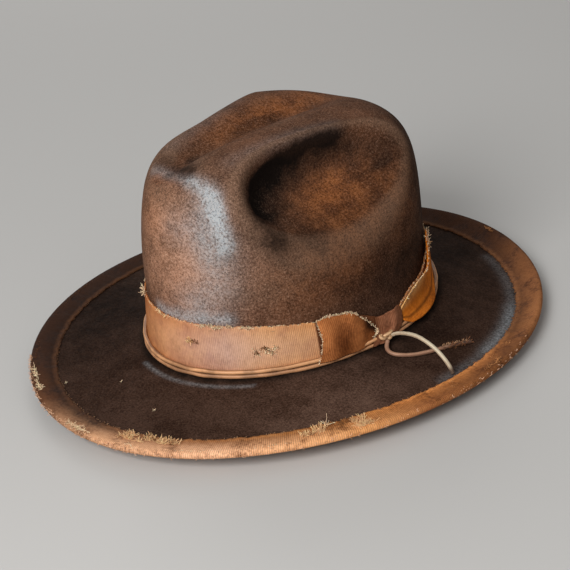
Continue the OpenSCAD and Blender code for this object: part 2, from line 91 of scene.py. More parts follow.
def soft_lamp(name, angle, height, distance, size, power):
    """A square studio lamp that faces the crown."""
    lamp = bpy.data.lights.new(name, "AREA")
    lamp.size = size
    lamp.energy = power
    towards = way_out(angle, height)
    holder = bpy.data.objects.new(name, lamp)
    holder.location = crown_middle + towards * distance
    holder.rotation_mode = "QUATERNION"
    holder.rotation_quaternion = towards.to_track_quat("Z", "Y")
    scene.collection.objects.link(holder)


soft_lamp("key", 19, 34, 1.7, 0.8, 27)
soft_lamp("fill", 80, 35, 2.2, 1.4, 3.5)
soft_lamp("rear", 235, 30, 1.9, 0.9, 8)


# ---- Leather lace: the two free ends -------------------------------------------------------
# One thong of tan leather goes twice round the foot of the ribbon and is knotted beside the bow.
# One end arches up and comes down on the brim, and the other lies on the brim and passes under
# it. Both are cut off bare, and the lying one is frayed out.
class Wire:
    """A socket of a shader node on which sums are written as on a number."""

    def __init__(self, look, socket):
        self.look, self.socket = look, socket

    def maths(self, operation, *others, clamp=False):
        node = self.look.tree.nodes.new("ShaderNodeMath")
        node.operation, node.use_clamp = operation, clamp
        for i, value in enumerate((self,) + others):
            self.look.feed(node.inputs[i], value)
        return Wire(self.look, node.outputs[0])

    def __add__(self, other):
        return self.maths("ADD", other)

    def __sub__(self, other):
        return self.maths("SUBTRACT", other)

    def __rsub__(self, other):
        return (self * -1) + other

    def __mul__(self, other):
        return self.maths("MULTIPLY", other)

    __radd__, __rmul__ = __add__, __mul__

    def clamped(self):
        return self.maths("ADD", 0, clamp=True)

    def step(self, low, high, start=0, end=1):
        """Goes smoothly from start to end while the value goes from low to high."""
        return self.look.node("ShaderNodeMapRange", {"interpolation_type": "SMOOTHSTEP"},
                              {0: self, 1: low, 2: high, 3: start, 4: end})


class Look:
    """A material's node tree, with one method that adds any node."""

    def __init__(self, name):
        self.material = bpy.data.materials.new(name)
        self.material.use_nodes = True
        self.tree = self.material.node_tree
        self.shader = self.tree.nodes["Principled BSDF"]

    def feed(self, socket, value):
        if isinstance(value, Wire):
            self.tree.links.new(value.socket, socket)
        elif isinstance(value, (tuple, list)) and socket.type == "RGBA":
            socket.default_value = tuple(value) + (1,)
        else:
            socket.default_value = value

    def node(self, kind, settings, sockets, out=0):
        made = self.tree.nodes.new(kind)
        for name, value in settings.items():
            setattr(made, name, value)
        for name, value in sockets.items():
            self.feed(made.inputs[name], value)
        return Wire(self, made.outputs[out])

    def mix(self, start, end, share, how="MIX"):
        """Blends two colours: share 0 is the first one."""
        settings = {"data_type": "RGBA", "blend_type": how, "clamp_factor": True}
        return self.node("ShaderNodeMix", settings, {0: share, 6: start, 7: end}, out=2)

    def tinted(self, colour, tint):
        """A colour multiplied by another, as a dye lies over it."""
        return self.mix(colour, tint, 1, how="MULTIPLY")

    def where(self, name="Object"):
        outputs = ["Generated", "Normal", "UV", "Object"]
        return self.node("ShaderNodeTexCoord", {}, {}, out=outputs.index(name))

    def noise(self, scale, detail=3, rough=0.5, at=None, warp=0.0):
        sockets = {"Scale": scale, "Detail": detail, "Roughness": rough, "Distortion": warp}
        return self.node("ShaderNodeTexNoise", {}, {"Vector": at or self.where(), **sockets})

    def part(self, vector, axis):
        return self.node("ShaderNodeSeparateXYZ", {}, {0: vector}, out="XYZ".index(axis))

    def painted(self, name):
        """A colour that is painted on the piece's points."""
        return self.node("ShaderNodeAttribute", {"attribute_name": name}, {})

    def channel(self, name, letter):
        """One channel, R, G or B, of a colour that is painted on the piece's points."""
        return self.node("ShaderNodeSeparateColor", {}, {0: self.painted(name)}, out="RGB".index(letter))

    def done(self, colour, roughness, height, depth, strength=1.0, **plain):
        """Feeds the shader: height is the relief, which is depth metres deep at 1."""
        self.feed(self.shader.inputs["Base Color"], colour)
        self.feed(self.shader.inputs["Roughness"], roughness)
        bump = self.node("ShaderNodeBump", {}, {"Height": height, "Distance": depth, "Strength": strength})
        self.feed(self.shader.inputs["Normal"], bump)
        for name, value in plain.items():
            self.shader.inputs[name.replace("_", " ")].default_value = value
        return self.material


def length_of(v):
    return np.linalg.norm(v, axis=-1)


def unit(v):
    return v / np.maximum(length_of(v)[..., None], 1e-9)


def run_of(steps):
    """The distance in metres that steps in millimetres have come to, from 0 on."""
    return np.append(0, np.cumsum(steps)) / 1000


def fit_spline(points, per_span=6):
    """A smooth path through given points, with per_span steps between one and the next."""
    p = np.asarray(points, float)
    p = np.vstack([2 * p[0] - p[1], p, 2 * p[-1] - p[-2]])
    t = np.arange(per_span)[:, None] / per_span
    spans = [0.5 * (2 * b + (c - a) * t + (2 * a - 5 * b + 4 * c - d) * t ** 2
                    + (3 * b - a - 3 * c + d) * t ** 3)
             for a, b, c, d in zip(p, p[1:], p[2:], p[3:])]
    return np.vstack(spans + [p[-2]])


def skin(name, grid, wrap=(False, False), poles=(None, None), uv=None, ends=False):
    """A closed skin over grid[row, column], in millimetres, whose open rows meet in end points.

    With ends, the rows go out over a sheet and back under it, and its first and last columns
    are closed.
    """
    rows, columns = grid.shape[:2]
    row, column = (index.ravel() for index in np.meshgrid(
        np.arange(rows if wrap[0] else rows - 1),
        np.arange(columns if wrap[1] else columns - 1), indexing="ij"))
    next_row, next_column = (row + 1) % rows, (column + 1) % columns
    blocks = [np.stack([row * columns + column, row * columns + next_column,
                        next_row * columns + next_column, next_row * columns + column], axis=1)]
    corners = []
    if uv is not None:
        corners.append(np.stack([uv[row, column], uv[row, column + 1],
                                 uv[row + 1, column + 1], uv[row + 1, column]], axis=1))
    points = grid.reshape(-1, 3)
    for end, pole in ((0, poles[0]), (rows - 1, poles[1])):
        if pole is not None:
            edge = end * columns + np.arange(columns)
            near, far = (edge, np.roll(edge, -1)) if end else (np.roll(edge, -1), edge)
            blocks.append(np.stack([near, far, np.full(columns, len(points))], axis=1))
            points = np.vstack([points, pole])
            if uv is not None:
                corners.append(np.repeat(uv[end, :columns][:, None], 3, axis=1))
    if ends:
        low = np.arange(rows // 2 - 1)
        loop = np.stack([low, low + 1, rows - 2 - low, rows - 1 - low], axis=1)
        for last, order in ((0, [0, 1, 2, 3]), (columns - 1, [3, 2, 1, 0])):
            blocks.append(loop[:, order] * columns + last)
            if uv is not None:
                corners.append(uv[loop[:, order], last])
    # A skin whose faces point inwards encloses less than nothing, and is turned round.
    volume = 0
    for block in blocks:
        for n in range(2, block.shape[1]):
            a, b, c = (points[block[:, m]] for m in (0, n - 1, n))
            volume += np.einsum("ij,ij->", a, np.cross(b, c))
    if volume < 0:
        blocks = [block[:, ::-1] for block in blocks]
        corners = [corner[:, ::-1] for corner in corners]
    mesh = bpy.data.meshes.new(name)
    mesh.from_pydata(place(points).tolist(), [], [face for block in blocks for face in block.tolist()])
    if uv is not None:
        layer = mesh.uv_layers.new(name="weave")
        layer.data.foreach_set("uv", np.concatenate([corner.reshape(-1) for corner in corners]))
    mesh.shade_smooth()
    piece = bpy.data.objects.new(name, mesh)
    scene.collection.objects.link(piece)
    return piece


def keep(piece, material, slot, *nodes):
    """Gives a piece its material and hides the solids that it stands for. Its slot is not used."""
    piece.data.materials.clear()
    piece.data.materials.append(material)
    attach(piece, "root")
    if nodes:
        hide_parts(*nodes)
    return piece


def tube(name, path, width, height=None, sides=14, ripple=0.0, closed=False, up=(0, 0, 1)):
    """A tube of oval section along a path, with the path's length and the way round as its UV."""
    if closed:
        along = unit(np.roll(path, -1, axis=0) - np.roll(path, 1, axis=0))
    else:
        along = unit(np.gradient(path, axis=0))
    side = unit(np.cross(along, up))
    over = np.cross(side, along)
    turn = 2 * np.pi * np.arange(sides)[None, :, None] / sides
    count = len(path)
    width = np.broadcast_to(width, count)[:, None, None]
    height = width if height is None else np.broadcast_to(height, count)[:, None, None]
    wobble = 1 + ripple * np.sin(np.arange(count) * 0.9)[:, None, None]
    grid = path[:, None] + wobble * (width / 2 * np.cos(turn) * side[:, None]
                                     + height / 2 * np.sin(turn) * over[:, None])
    run = run_of(np.append(length_of(np.diff(path, axis=0)), length_of(path[0] - path[-1]) * closed))
    uv = np.stack(np.meshgrid(run, np.arange(sides + 1) / sides, indexing="ij"), axis=-1)
    poles = (None, None) if closed else (path[0] - 0.3 * along[0], path[-1] + 0.3 * along[-1])
    return skin(name, grid, (closed, True), poles, uv)


def leather(name, light, dark, burnt=(1, 2), edges=0.0):
    """Leather thong: dark in its pores and on two edges, and burnt from one length to the next.

    The lengths are in metres, and edges turns the two dark edges round the thong, in radians.
    At 0 they lie on its cut edges; turned half round, they lie on its top and underside, where
    they are painted shade between turns that press together.
    """
    look = Look(name)
    grain = look.noise(2600, 4, 0.6)
    stain = look.noise(90, 3)
    round_thong = look.part(look.where("UV"), "Y")
    edge = ((round_thong * 4 * math.pi + edges).maths("COSINE") * 0.5 + 0.5).step(0.6, 1.0)
    worn = look.mix(light, dark, stain.step(0.38, 0.68) * 0.5)
    colour = look.mix(worn, dark, (edge * 0.6 + grain.step(0.5, 0.8) * 0.3).clamped())
    scorch = look.part(look.where("UV"), "X").step(*burnt) * grain.step(0.25, 0.6, 0.6, 1)
    colour = look.mix(colour, (0.05, 0.02, 0.011), scorch)
    return look.done(colour, grain.step(0.3, 0.8, 0.45, 0.7), grain * 0.6 - edge * 0.8, 0.0002, 0.6)


lace_d = 2.8
lace_flat = 2.3
arched_route = [[92.6, -4.9, 7.6], [95.5, -4.9, 9.3], [99, -4.8, 10.6], [103, -4.6, 11.5],
                [107, -4.5, 12], [111, -4.4, 12], [115, -4.3, 11.4], [119, -4.2, 10.2],
                [123, -4, 8.4], [127, -3.8, 6], [130.5, -3.7, 3.2], [133.5, -3.6, 0.3],
                [136, -3.4, -3.2], [137.6, -3.2, -6.9]]
lying_route = [[91, -8, 4.6], [91.8, -10, 3], [93.2, -11.8, 1.8], [95.2, -13, 1], [97.8, -13.4, 0.3],
               [100.8, -12.3, -0.4], [104, -9.8, -1], [107.2, -6, -1.7], [109.8, -1.4, -2.4], [112, 3.6, -3],
               [113.7, 9, -3.7], [115.1, 14.4, -4.4], [116.5, 19.8, -5.1], [118, 25.2, -5.9],
               [119.8, 30.4, -6.7], [121.8, 35.2, -7.5]]
cream_leather = leather("cream_leather", (0.62, 0.53, 0.38), (0.34, 0.22, 0.13), burnt=(0.0475, 0.0515))
pink_leather = leather("pink_leather", (0.42, 0.23, 0.14), (0.16, 0.07, 0.04), burnt=(0.043, 0.056))


def free_end(name, route, material, slot, node):
    path = fit_spline(route)
    piece = keep(tube(name, path, lace_d, lace_flat, ripple=0.02), material, slot, node)


free_end("arched_lace", arched_route, cream_leather, "lace_end", "lace_arched_end")
free_end("lying_lace", lying_route, pink_leather, "lace", "lace_lying_end")


# ---- Felt body -----------------------------------------------------------------------------
# Crown and brim are one piece of fur felt, blocked over a wooden form, creased by hand and
# curled at the rim. It is dyed dark brown, then scorched, sanded and dusted, so that rust shows
# on the front and in the creases, and grey on the front corner, where a sheen is also painted.
# Painted shade in its dents and creases, a painted shadow at the brim break and painted light on its front
# are in its colour.
felt_t = 2.8
crown_half_w, crown_half_l, crown_h = 84.5, 101.8, 134.5
side_draw, end_draw, draw_h = 4.5, 1.6, 45
egg, shoulder, front_pinch = 0.06, 6.4, 0.19
peak_ahead, front_fall, back_fall = 34, 6.6, 15
trough_depth, trough_half_w, trough_aside = 9, 14, 9
lip_depth, lip_width = 3.5, 18
dent_cut, dent_wall = 54, 26
dent_up, dent_down = 33, 50
dent_front, dent_back, dent_ahead = 50, 100, 18
dent_slope, dent_yaw, dent_tilt = 48, 10, 0.2
dent_soft, dent_low_soft = 9, 5
rim_half_w, rim_half_l = 155.7, 177.2
rim_drop, rim_wave = 6.8, 1.7
curl_w = 22


def sin_d(a):
    return np.sin(np.radians(a))


def cos_d(a):
    return np.cos(np.radians(a))


def smooth(low, high, v):
    t = np.clip((v - low) / (high - low), 0, 1)
    return t * t * (3 - 2 * t)


def bell(v, width):
    return np.exp(-(v / width) ** 2)


def turned(a, centre):
    """Angle from centre, between -180 and 180 degrees."""
    return (a - centre + 180) % 360 - 180


def triple(x, y, z):
    return np.stack(np.broadcast_arrays(x, y, z), axis=-1)


def plan_xy(a, h, r):
    """Plan of the crown at angle a, with its height and radius as shares."""
    draw = smooth(0, draw_h, h * crown_h)
    y = (crown_half_l - end_draw * draw) * r * sin_d(a)
    pinch = 1 - front_pinch * smooth(0.35, 1, h) * smooth(0, 1, -y / crown_half_l)
    return (crown_half_w - side_draw * draw) * r * cos_d(a) * (1 + egg * sin_d(a)) * pinch, y


def trough(x, y, h):
    """The centre trough, narrower in front, and the short crease that crosses its front end."""
    v, aside = y / crown_half_l, x + trough_aside
    width = trough_half_w * (0.6 + 0.4 * smooth(-0.83, -0.2, v))
    dip = trough_depth * smooth(-0.88, -0.55, v) * (1 - smooth(0.35, 0.88, v)) * bell(aside, width)
    crease = lip_depth * bell(v + 0.79, 0.085) * np.exp(-(aside / lip_width) ** 4)
    return smooth(0.84, 0.97, h) * (dip + crease)


def dent(x, y, z):
    """How far a side dent is scooped out of the crown's corner: steep above and in front."""
    side = np.abs(x) * cos_d(dent_yaw) - y * sin_d(dent_yaw) - crown_half_w * cos_d(dent_yaw)
    along = np.abs(x) * sin_d(dent_yaw) + y * cos_d(dent_yaw) + dent_ahead
    rise = (z - crown_h) * cos_d(dent_slope) - side * sin_d(dent_slope)
    out = side * cos_d(dent_slope) + (z - crown_h) * sin_d(dent_slope) + dent_cut
    q = np.hypot(np.maximum(0, rise) / dent_up, along / np.where(along < 0, dent_front, dent_back))
    soft = dent_soft + dent_low_soft * smooth(0, dent_down, -rise)
    over = np.maximum(0, out + soft - dent_tilt * np.maximum(0, -rise) - dent_wall * q ** 3)
    return np.where(over < 2 * soft, over ** 2 / (4 * soft), over - soft)


def crown_point(a, f):
    """The crown's outer face: f runs from 0 at its base to 90 at the middle of its top."""
    h = sin_d(f) ** (2 / shoulder)
    x, y = plan_xy(a, h, np.maximum(0, cos_d(f)) ** (2 / shoulder))
    ahead = np.maximum(0, -y - peak_ahead) / (crown_half_l - peak_ahead)
    behind = np.maximum(0, y + peak_ahead) / (crown_half_l + peak_ahead)
    z = h * (crown_h - front_fall * ahead ** 2 - back_fall * behind ** 2)
    push = dent(x, y, z)
    return triple(x - np.sign(x) * push * cos_d(dent_slope) * cos_d(dent_yaw),
                  y + push * cos_d(dent_slope) * sin_d(dent_yaw),
                  z - push * sin_d(dent_slope) - trough(x, y, h))


def angle_at_height(share):
    """The f of crown_point at which the crown has come to a share of its height."""
    return np.degrees(np.arcsin(share ** (shoulder / 2)))


def angle_at_radius(share):
    """The f of crown_point at which the crown has a share of its width at the base."""
    return np.degrees(np.arccos(share ** (shoulder / 2)))


def wall_point(a, z, off):
    """A point off millimetres outside the crown's wall, at height z above the brim break."""
    h = np.maximum(0, z) / crown_h
    r = (1 - h ** shoulder) ** (1 / shoulder)
    x, y = plan_xy(a, h, r)
    x1, y1 = plan_xy(a + 0.5, h, r)
    x0, y0 = plan_xy(a - 0.5, h, r)
    run = np.hypot(x1 - x0, y1 - y0)
    return triple(x + off * (y1 - y0) / run, y - off * (x1 - x0) / run, z)


def brim_mid(a, s):
    """The middle of the brim's felt: s runs from 0 at the crown to 1 at the rim."""
    foot = np.stack(plan_xy(a, 0 * a, 1 + 0 * a), axis=-1)
    rim = np.stack([rim_half_w * cos_d(a), rim_half_l * sin_d(a) - crown_y], axis=-1)
    # The curl's slope in degrees, steepest at the rear left and least at the front left.
    curl = 15 + 22 * bell(turned(a, 48), 42) + 8 * bell(turned(a, 100), 40) - 9 * bell(turned(a, -40), 45)
    lift = curl_w / 2 * np.tan(np.radians(curl))
    rim_z = -rim_drop - rim_wave * (0.7 * sin_d(a) + sin_d(3 * a))
    t = np.maximum(0, 1 + (s - 1) * length_of(rim - foot) / curl_w)
    z = (rim_z - lift) * sin_d(90 * s) + lift * t * t
    share = np.asarray(s)[..., None]
    return np.concatenate([foot * (1 - share) + rim * share, z[..., None]], axis=-1)


def brim_frame(a, s):
    """The ways along the brim's felt, out to the rim, and straight up from it."""
    along = unit(brim_mid(a, s + 0.01) - brim_mid(a, s - 0.01))
    flat = unit(along[..., :2])
    return along, np.concatenate([-along[..., 2:] * flat, length_of(along[..., :2])[..., None]], axis=-1)


def brim_point(a, s, off):
    """A point off millimetres above the middle of the brim's felt."""
    a, s = np.broadcast_arrays(a, s)
    return brim_mid(a, s) + np.asarray(off)[..., None] * brim_frame(a, s)[1]


def rim_point(a, r, turn):
    """A point on a circle of radius r round the rim: turn is 90 above it and -90 under it."""
    a, turn = np.broadcast_arrays(np.asarray(a, float), np.asarray(turn, float))
    along, over = brim_frame(a, 1 + 0 * a)
    return brim_mid(a, 1 + 0 * a) + r * (sin_d(turn)[..., None] * over + cos_d(turn)[..., None] * along)


def from_rim(a, w):
    """The share of the brim's width at which a point lies w millimetres inside the rim."""
    inner, outer = brim_mid(a, 0 * a), brim_mid(a, 1 + 0 * a)
    return 1 - w / length_of((outer - inner)[..., :2])


def ring(count):
    return 360 * np.arange(count)[None, :] / count


def corner(start, middle, end, steps):
    """Rows that round a corner off between two rows, which would meet in the middle one."""
    t = np.linspace(0, 1, steps + 2)[1:-1, None, None]
    return start * (1 - t) ** 2 + 2 * middle * t * (1 - t) + end * t * t


around = ring(300)
top_radii = np.concatenate([np.linspace(0.03, 0.3, 10), np.linspace(0.32, 0.9, 46)])
side_heights = np.concatenate([np.linspace(0.96, 0.72, 26), np.linspace(0.71, 0.05, 34)])
crown_angles = np.sort(np.concatenate([angle_at_radius(top_radii), angle_at_height(side_heights)]))[::-1]
crown_out = crown_point(around, crown_angles[:, None])
turn_way = np.roll(crown_out, -1, axis=1) - np.roll(crown_out, 1, axis=1)
crown_normal = unit(np.cross(np.gradient(crown_out, axis=0), turn_way))
crown_top = crown_point(np.zeros(1), np.full(1, 90.0))[0]

brim_shares = np.linspace(0.11, 1, 46)[:, None]
brim_top = brim_point(around, brim_shares, felt_t / 2)
brim_under = brim_point(around, brim_shares[::-2], -felt_t / 2)
rim_edge = rim_point(around, felt_t / 2, np.linspace(75, -75, 7)[:, None])
inner_wall = (crown_out - felt_t * crown_normal)[::-1][::2]
outer_corner = corner(crown_out[-1], wall_point(around[0], felt_t / 2, 0), brim_top[0], 7)
inner_corner = corner(brim_under[-1], wall_point(around[0], -felt_t / 2, -felt_t), inner_wall[0], 5)
felt_rows = np.concatenate([crown_out, outer_corner, brim_top, rim_edge,
                            brim_under, inner_corner, inner_wall])
felt_body = skin("felt_body_blocked", felt_rows, (False, True), (crown_top, crown_top - [0, 0, felt_t]))


def spots(p, *marks):
    """Soft round marks, each with its strength, its centre and its radii in millimetres."""
    return sum(strength * np.exp(-(((p - centre) / radii) ** 2).sum(axis=-1))
               for strength, centre, radii in marks)


def strokes(p, *marks):
    """Soft strokes, each with its strength, its half width and its line in millimetres."""
    shade = np.zeros(p.shape[:-1])
    for strength, width, line in marks:
        line = np.asarray(line, float)
        nearest = np.full(p.shape[:-1], np.inf)
        for start, end in zip(line, line[1:]):
            way = end - start
            share = np.clip((p - start) @ way / (way @ way), 0, 1)
            nearest = np.minimum(nearest, length_of(p - start - share[..., None] * way))
        shade += strength * np.exp(-(nearest / width) ** 2)
    return shade


def paint(piece, name, colours):
    layer = piece.data.color_attributes.new(name, "FLOAT_COLOR", "POINT")
    layer.data.foreach_set("color", np.concatenate([colours, np.ones((len(colours), 1))], axis=1).ravel())


def spread(values, rows, columns):
    """Averages a grid over its neighbours, round the columns and along the rows."""
    padded = np.concatenate([values[rows:0:-1], values, values[-2:-2 - rows:-1]])
    total = sum(padded[k:k + len(values)] for k in range(2 * rows + 1)) / (2 * rows + 1)
    return sum(np.roll(total, k, axis=1) for k in range(-columns, columns + 1)) / (2 * columns + 1)


def on_felt(rows, values, tops=(0, 0)):
    """One value for each point of the felt: values on a slice of its rows, then its two tops."""
    grid = np.zeros(felt_rows.shape[:2])
    grid[rows] = values
    return np.append(grid.ravel(), tops)


# Each point of the felt has a share of rust, of dust with painted sheen, of painted shade and
# of painted light. It is hollow where it lies under the points round it, and the fold shadow is a
# painted shadow along the brim break, under the lace.
points = np.vstack([felt_rows.reshape(-1, 3), crown_top, crown_top])
twin = points * [-1, 1, 1]
crown_rows = slice(0, len(crown_out))
outer_rows = slice(0, len(crown_out) + len(outer_corner) + len(brim_top) + len(rim_edge) // 2)
hollow = on_felt(crown_rows, ((spread(crown_out, 5, 5) - crown_out) * crown_normal).sum(axis=-1))
hollow = np.where(hollow < 0, hollow * (1 - 0.6 * smooth(-75, -25, points[:, 1])), hollow)
outside = on_felt(outer_rows, 1, (1, 0))
fold_shadow = np.zeros(felt_rows.shape[:2])
fold_shadow[len(crown_out) - 2:len(crown_out) + len(outer_corner) - 1] = 1
# The brim has a painted sheen beside the binding at the wearer's left, and a thin painted highlight in front
# of the lace.
sheen_a = np.arange(-4, 74, 6.0)
sheen_line = brim_point(sheen_a, from_rim(sheen_a, 18.5), felt_t / 2)
gloss_line = brim_point(np.arange(-108, -52, 6.0), 0.118, felt_t / 2)

rust = spots(points, (0.8, (-12, -98, 92), (20, 26, 28)), (0.6, (12, -96, 74), (22, 26, 24)),
             (0.3, (-8, -99, 54), (30, 20, 16)), (0.75, (-16, 18, 126), (15, 50, 15)),
             (0.35, (12, -98, 112), (20, 24, 14)))
# Painted light: the felt is paler where the light falls, on the crown's front and on the brim at the wearer's
# left front.
pale = spots(points, (1, (18, -96, 78), (44, 34, 42)), (0.2, (108, -78, -6), (44, 56, 14)))
dust_and_sheen = strokes(points, (0.3, 4, [(-27, -76, 121), (-14, -77, 122), (1, -80, 123), (13, -81, 123)]),
               (0.65, 5, [(13, -81, 123), (22, -80, 120), (28, -80, 116), (31, -81, 109)]),
               (1, 5, [(27, -82, 114), (31, -82, 106), (34, -83, 98), (37, -83, 88)]),
               (0.4, 10, [(24, -84, 112), (25, -89, 98), (29, -89, 86)]),
               (0.4, 13, [(32, -88, 82), (32, -90, 62), (20, -96, 50)]),
               (0.5, 4.5, [(-14, -100, 40), (10, -99, 40), (36, -88, 40)]),
               (0.16, 4, sheen_line), (0.2, 5, sheen_line[3:8]), (0.25, 1.3, gloss_line))
dust_and_sheen += spots(points, (0.22, (12, -93, 98), (14, 14, 12)))
# Painted shade: a shadow in and behind the crease across the front of the trough and beside the front corner,
# and shade on the brim at the wearer's right front and behind the crown.
dark = strokes(points, (0.9, 6, [(-22, -72, 125), (-8, -74, 124), (6, -73, 125)]))
dark += spots(points, (0.4, (10, -60, 129), (26, 16, 16)), (0.3, (44, -80, 84), (8, 12, 16)),
              (0.9, (-110, -60, 0), (60, 90, 30)), (0.9, (20, 140, 0), (120, 50, 24)))
# A painted shadow along the brim break, under the lace.
dark += 1.3 * on_felt(slice(None), spread(fold_shadow, 1, 1))
# The two sides of the crown are marked alike: rust, dust with painted sheen, and painted shade on the dents'
# walls and on the brim beside the crown.
for p in (points, twin):
    rust += spots(p, (0.75, (50, -2, 94), (15, 30, 17)), (0.35, (68, -6, 78), (12, 28, 12)),
                  (0.25, (76, 34, 88), (16, 20, 34)), (0.2, (62, -55, 62), (24, 40, 24)),
                  (0.2, (74, -28, 60), (20, 30, 18)))
    dust_and_sheen += strokes(p, (0.1, 7, [(26, -60, 132), (33, -20, 133), (42, 12, 131)]))
    dark += strokes(p, (1.1, 9, [(54, 20, 121), (41, 7, 124), (36, -9, 122), (33, -32, 116), (35, -54, 112),
                                 (41, -62, 104), (50, -62, 92), (56, -60, 84)]),
                    (0.6, 8, [(60, 26, 112), (46, 6, 115), (41, -12, 111), (39, -34, 105), (42, -50, 98)]),
                    (0.7, 5, [(46, 12, 126), (36, -14, 126), (32, -36, 121), (32, -54, 117)]),
                    (0.35, 6, [(58, 44, 106), (66, 34, 92), (68, 14, 80), (64, -22, 76)]))
    dark += spots(p, (0.7, (96, 26, 0), (14, 60, 14)), (0.5, (66, -38, 82), (18, 26, 18)))
    dark += spots(p, (0.8, (74, 30, 38), (26, 36, 14))) * smooth(30, 60, p[:, 0])
rust, dust_and_sheen, dark = rust * outside, dust_and_sheen * outside, dark * (0.4 + 0.6 * outside)
# The crown's felt is lighter than the brim's, held back on its sides and rear below the top as painted shade.
shaded_side = smooth(-80, -20, points[:, 1]) * smooth(128, 108, points[:, 2])
crown = smooth(4, 30, points[:, 2]) * (1 - 0.7 * shaded_side)
# The wear colour holds rust, dust with painted sheen, and relief, which lightens ridges and paints shade into
# creases. The shade colour holds painted shade, the crown's tone with its painted shade, and painted light.
paint(felt_body, "wear", np.stack([rust, dust_and_sheen, np.clip(0.5 + hollow * 0.7, 0, 1)], axis=1))
paint(felt_body, "shade", np.stack([dark, crown, pale], axis=1))

look = Look("distressed_felt")
cloud, blotch, fleck = look.noise(22, 4, 0.6), look.noise(75, 5, 0.65), look.noise(330, 4, 0.7)
grain, fur = look.noise(760, 4, 0.75), look.noise(1900, 2, 0.6)
mottle = (cloud * 0.8 + blotch * 0.5 + grain * 0.6).step(0.7, 1.2)
worn = (blotch * 0.6 + fleck * 0.3 + grain * 0.5).step(0.5, 0.9)
rust_share = (look.channel("wear", "R") * (blotch + grain * 0.7).step(0.55, 1.1, 0.25, 1.2)).clamped()
dust_and_sheen_share = (look.channel("wear", "G") * (fleck * 0.5 + grain).step(0.55, 0.95, 0.35, 1.15)).clamped()
relief = look.channel("wear", "B")
painted_shade_share = (look.channel("shade", "R") * blotch.step(0.2, 0.7, 1.1, 0.6)).clamped()
crown_tone_and_shade = look.channel("shade", "G")
painted_light_share = look.channel("shade", "B")
brim_felt = look.mix((0.022, 0.009, 0.0045), (0.056, 0.029, 0.019), mottle)
crown_felt = look.mix((0.055, 0.023, 0.011), (0.145, 0.061, 0.03), mottle)
lit_felt = look.mix((0.11, 0.052, 0.033), (0.4, 0.235, 0.17), mottle)
scorched = look.mix((0.2, 0.055, 0.012), (0.37, 0.13, 0.04), worn)
lit_scorched = look.mix((0.36, 0.145, 0.065), (0.66, 0.36, 0.235), worn)
base = look.mix(look.mix(brim_felt, crown_felt, crown_tone_and_shade), lit_felt, painted_light_share.clamped())
colour = look.mix(base, look.mix(scorched, lit_scorched, painted_light_share.clamped()), rust_share)
# Grey dust, and a painted sheen on the front corner and along the brim.
colour = look.mix(colour, (0.44, 0.49, 0.52), dust_and_sheen_share)
# The felt is lighter on its ridges. Painted shade darkens its creases and the marks painted as shade, down to
# near black.
colour = look.mix(colour, (0.19, 0.11, 0.07), relief.step(0.46, 0.1, 0, 0.55))
shadow = (painted_shade_share * 0.9 + relief.step(0.6, 0.95, 0, 0.5)).clamped()
colour = look.mix(colour, (0.007, 0.0042, 0.003), shadow)
hairs = grain * 0.6 + fur * 0.6
colour = look.mix(colour, (0, 0, 0), hairs.step(0.62, 0.46, 0, 0.55))
# Pale fibre specks show where the felt is painted lit, and not in its painted shade.
lit = (crown_tone_and_shade * 0.3 + painted_light_share * 0.25 + 0.06) * (1 - painted_shade_share)
colour = look.mix(colour, (0.5, 0.33, 0.24), hairs.step(0.62, 0.78) * lit)
felt = look.done(colour, fleck.step(0.3, 0.7, 0.75, 0.95) - dust_and_sheen_share * 0.25, grain * 0.7 + fleck * 0.6,
                 0.0005, 0.55, Specular_IOR_Level=0.05)
keep(felt_body, felt, "felt", "felt_body")


# ---- Brim binding --------------------------------------------------------------------------
# A grosgrain ribbon is folded over the rim and stitched through the felt. Its ribs run across
# it and its edges are ragged. It is painted lighter from the front round to the wearer's left,
# as painted light, and darker round the back and the wearer's right, as painted shade.
binding_w, binding_t, lie_gap = 15, 0.8, 0.2
binding_in = felt_t / 2 + lie_gap
binding_out = binding_in + binding_t
seam_in, seam_over, stitch_count, stitch_length = 1.8, 0.08, 128, 2.6


def waver(a, turns, seed=0):
    """A ragged line between about -1 and 1 that closes after 360 degrees."""
    cycles = turns * np.array([1, 1.62, 2.37, 3.9, 5.3])
    return sum(sin_d(np.round(n) * a + 97 * k + seed * 61) for k, n in enumerate(cycles)) / 2.6


def round_dye(a, *stops):
    """Colours that run round the hat through stops, each an angle and its colour."""
    at = [stop[0] for stop in stops]
    dyes = np.array([stop[1] for stop in stops])
    return np.stack([np.interp(np.mod(a, 360), at, dyes[:, k], period=360) for k in range(3)], axis=-1)


def ring_run(points):
    """The distance in metres along a closed ring, with the whole way round at its end."""
    return run_of(length_of(np.roll(points, -1, axis=0) - points))


def weave_uv(run, rise):
    """UV of a grid whose columns lie at the distances run, and whose rows lie at rise."""
    return np.stack(np.meshgrid(rise, run, indexing="ij")[::-1], axis=-1)


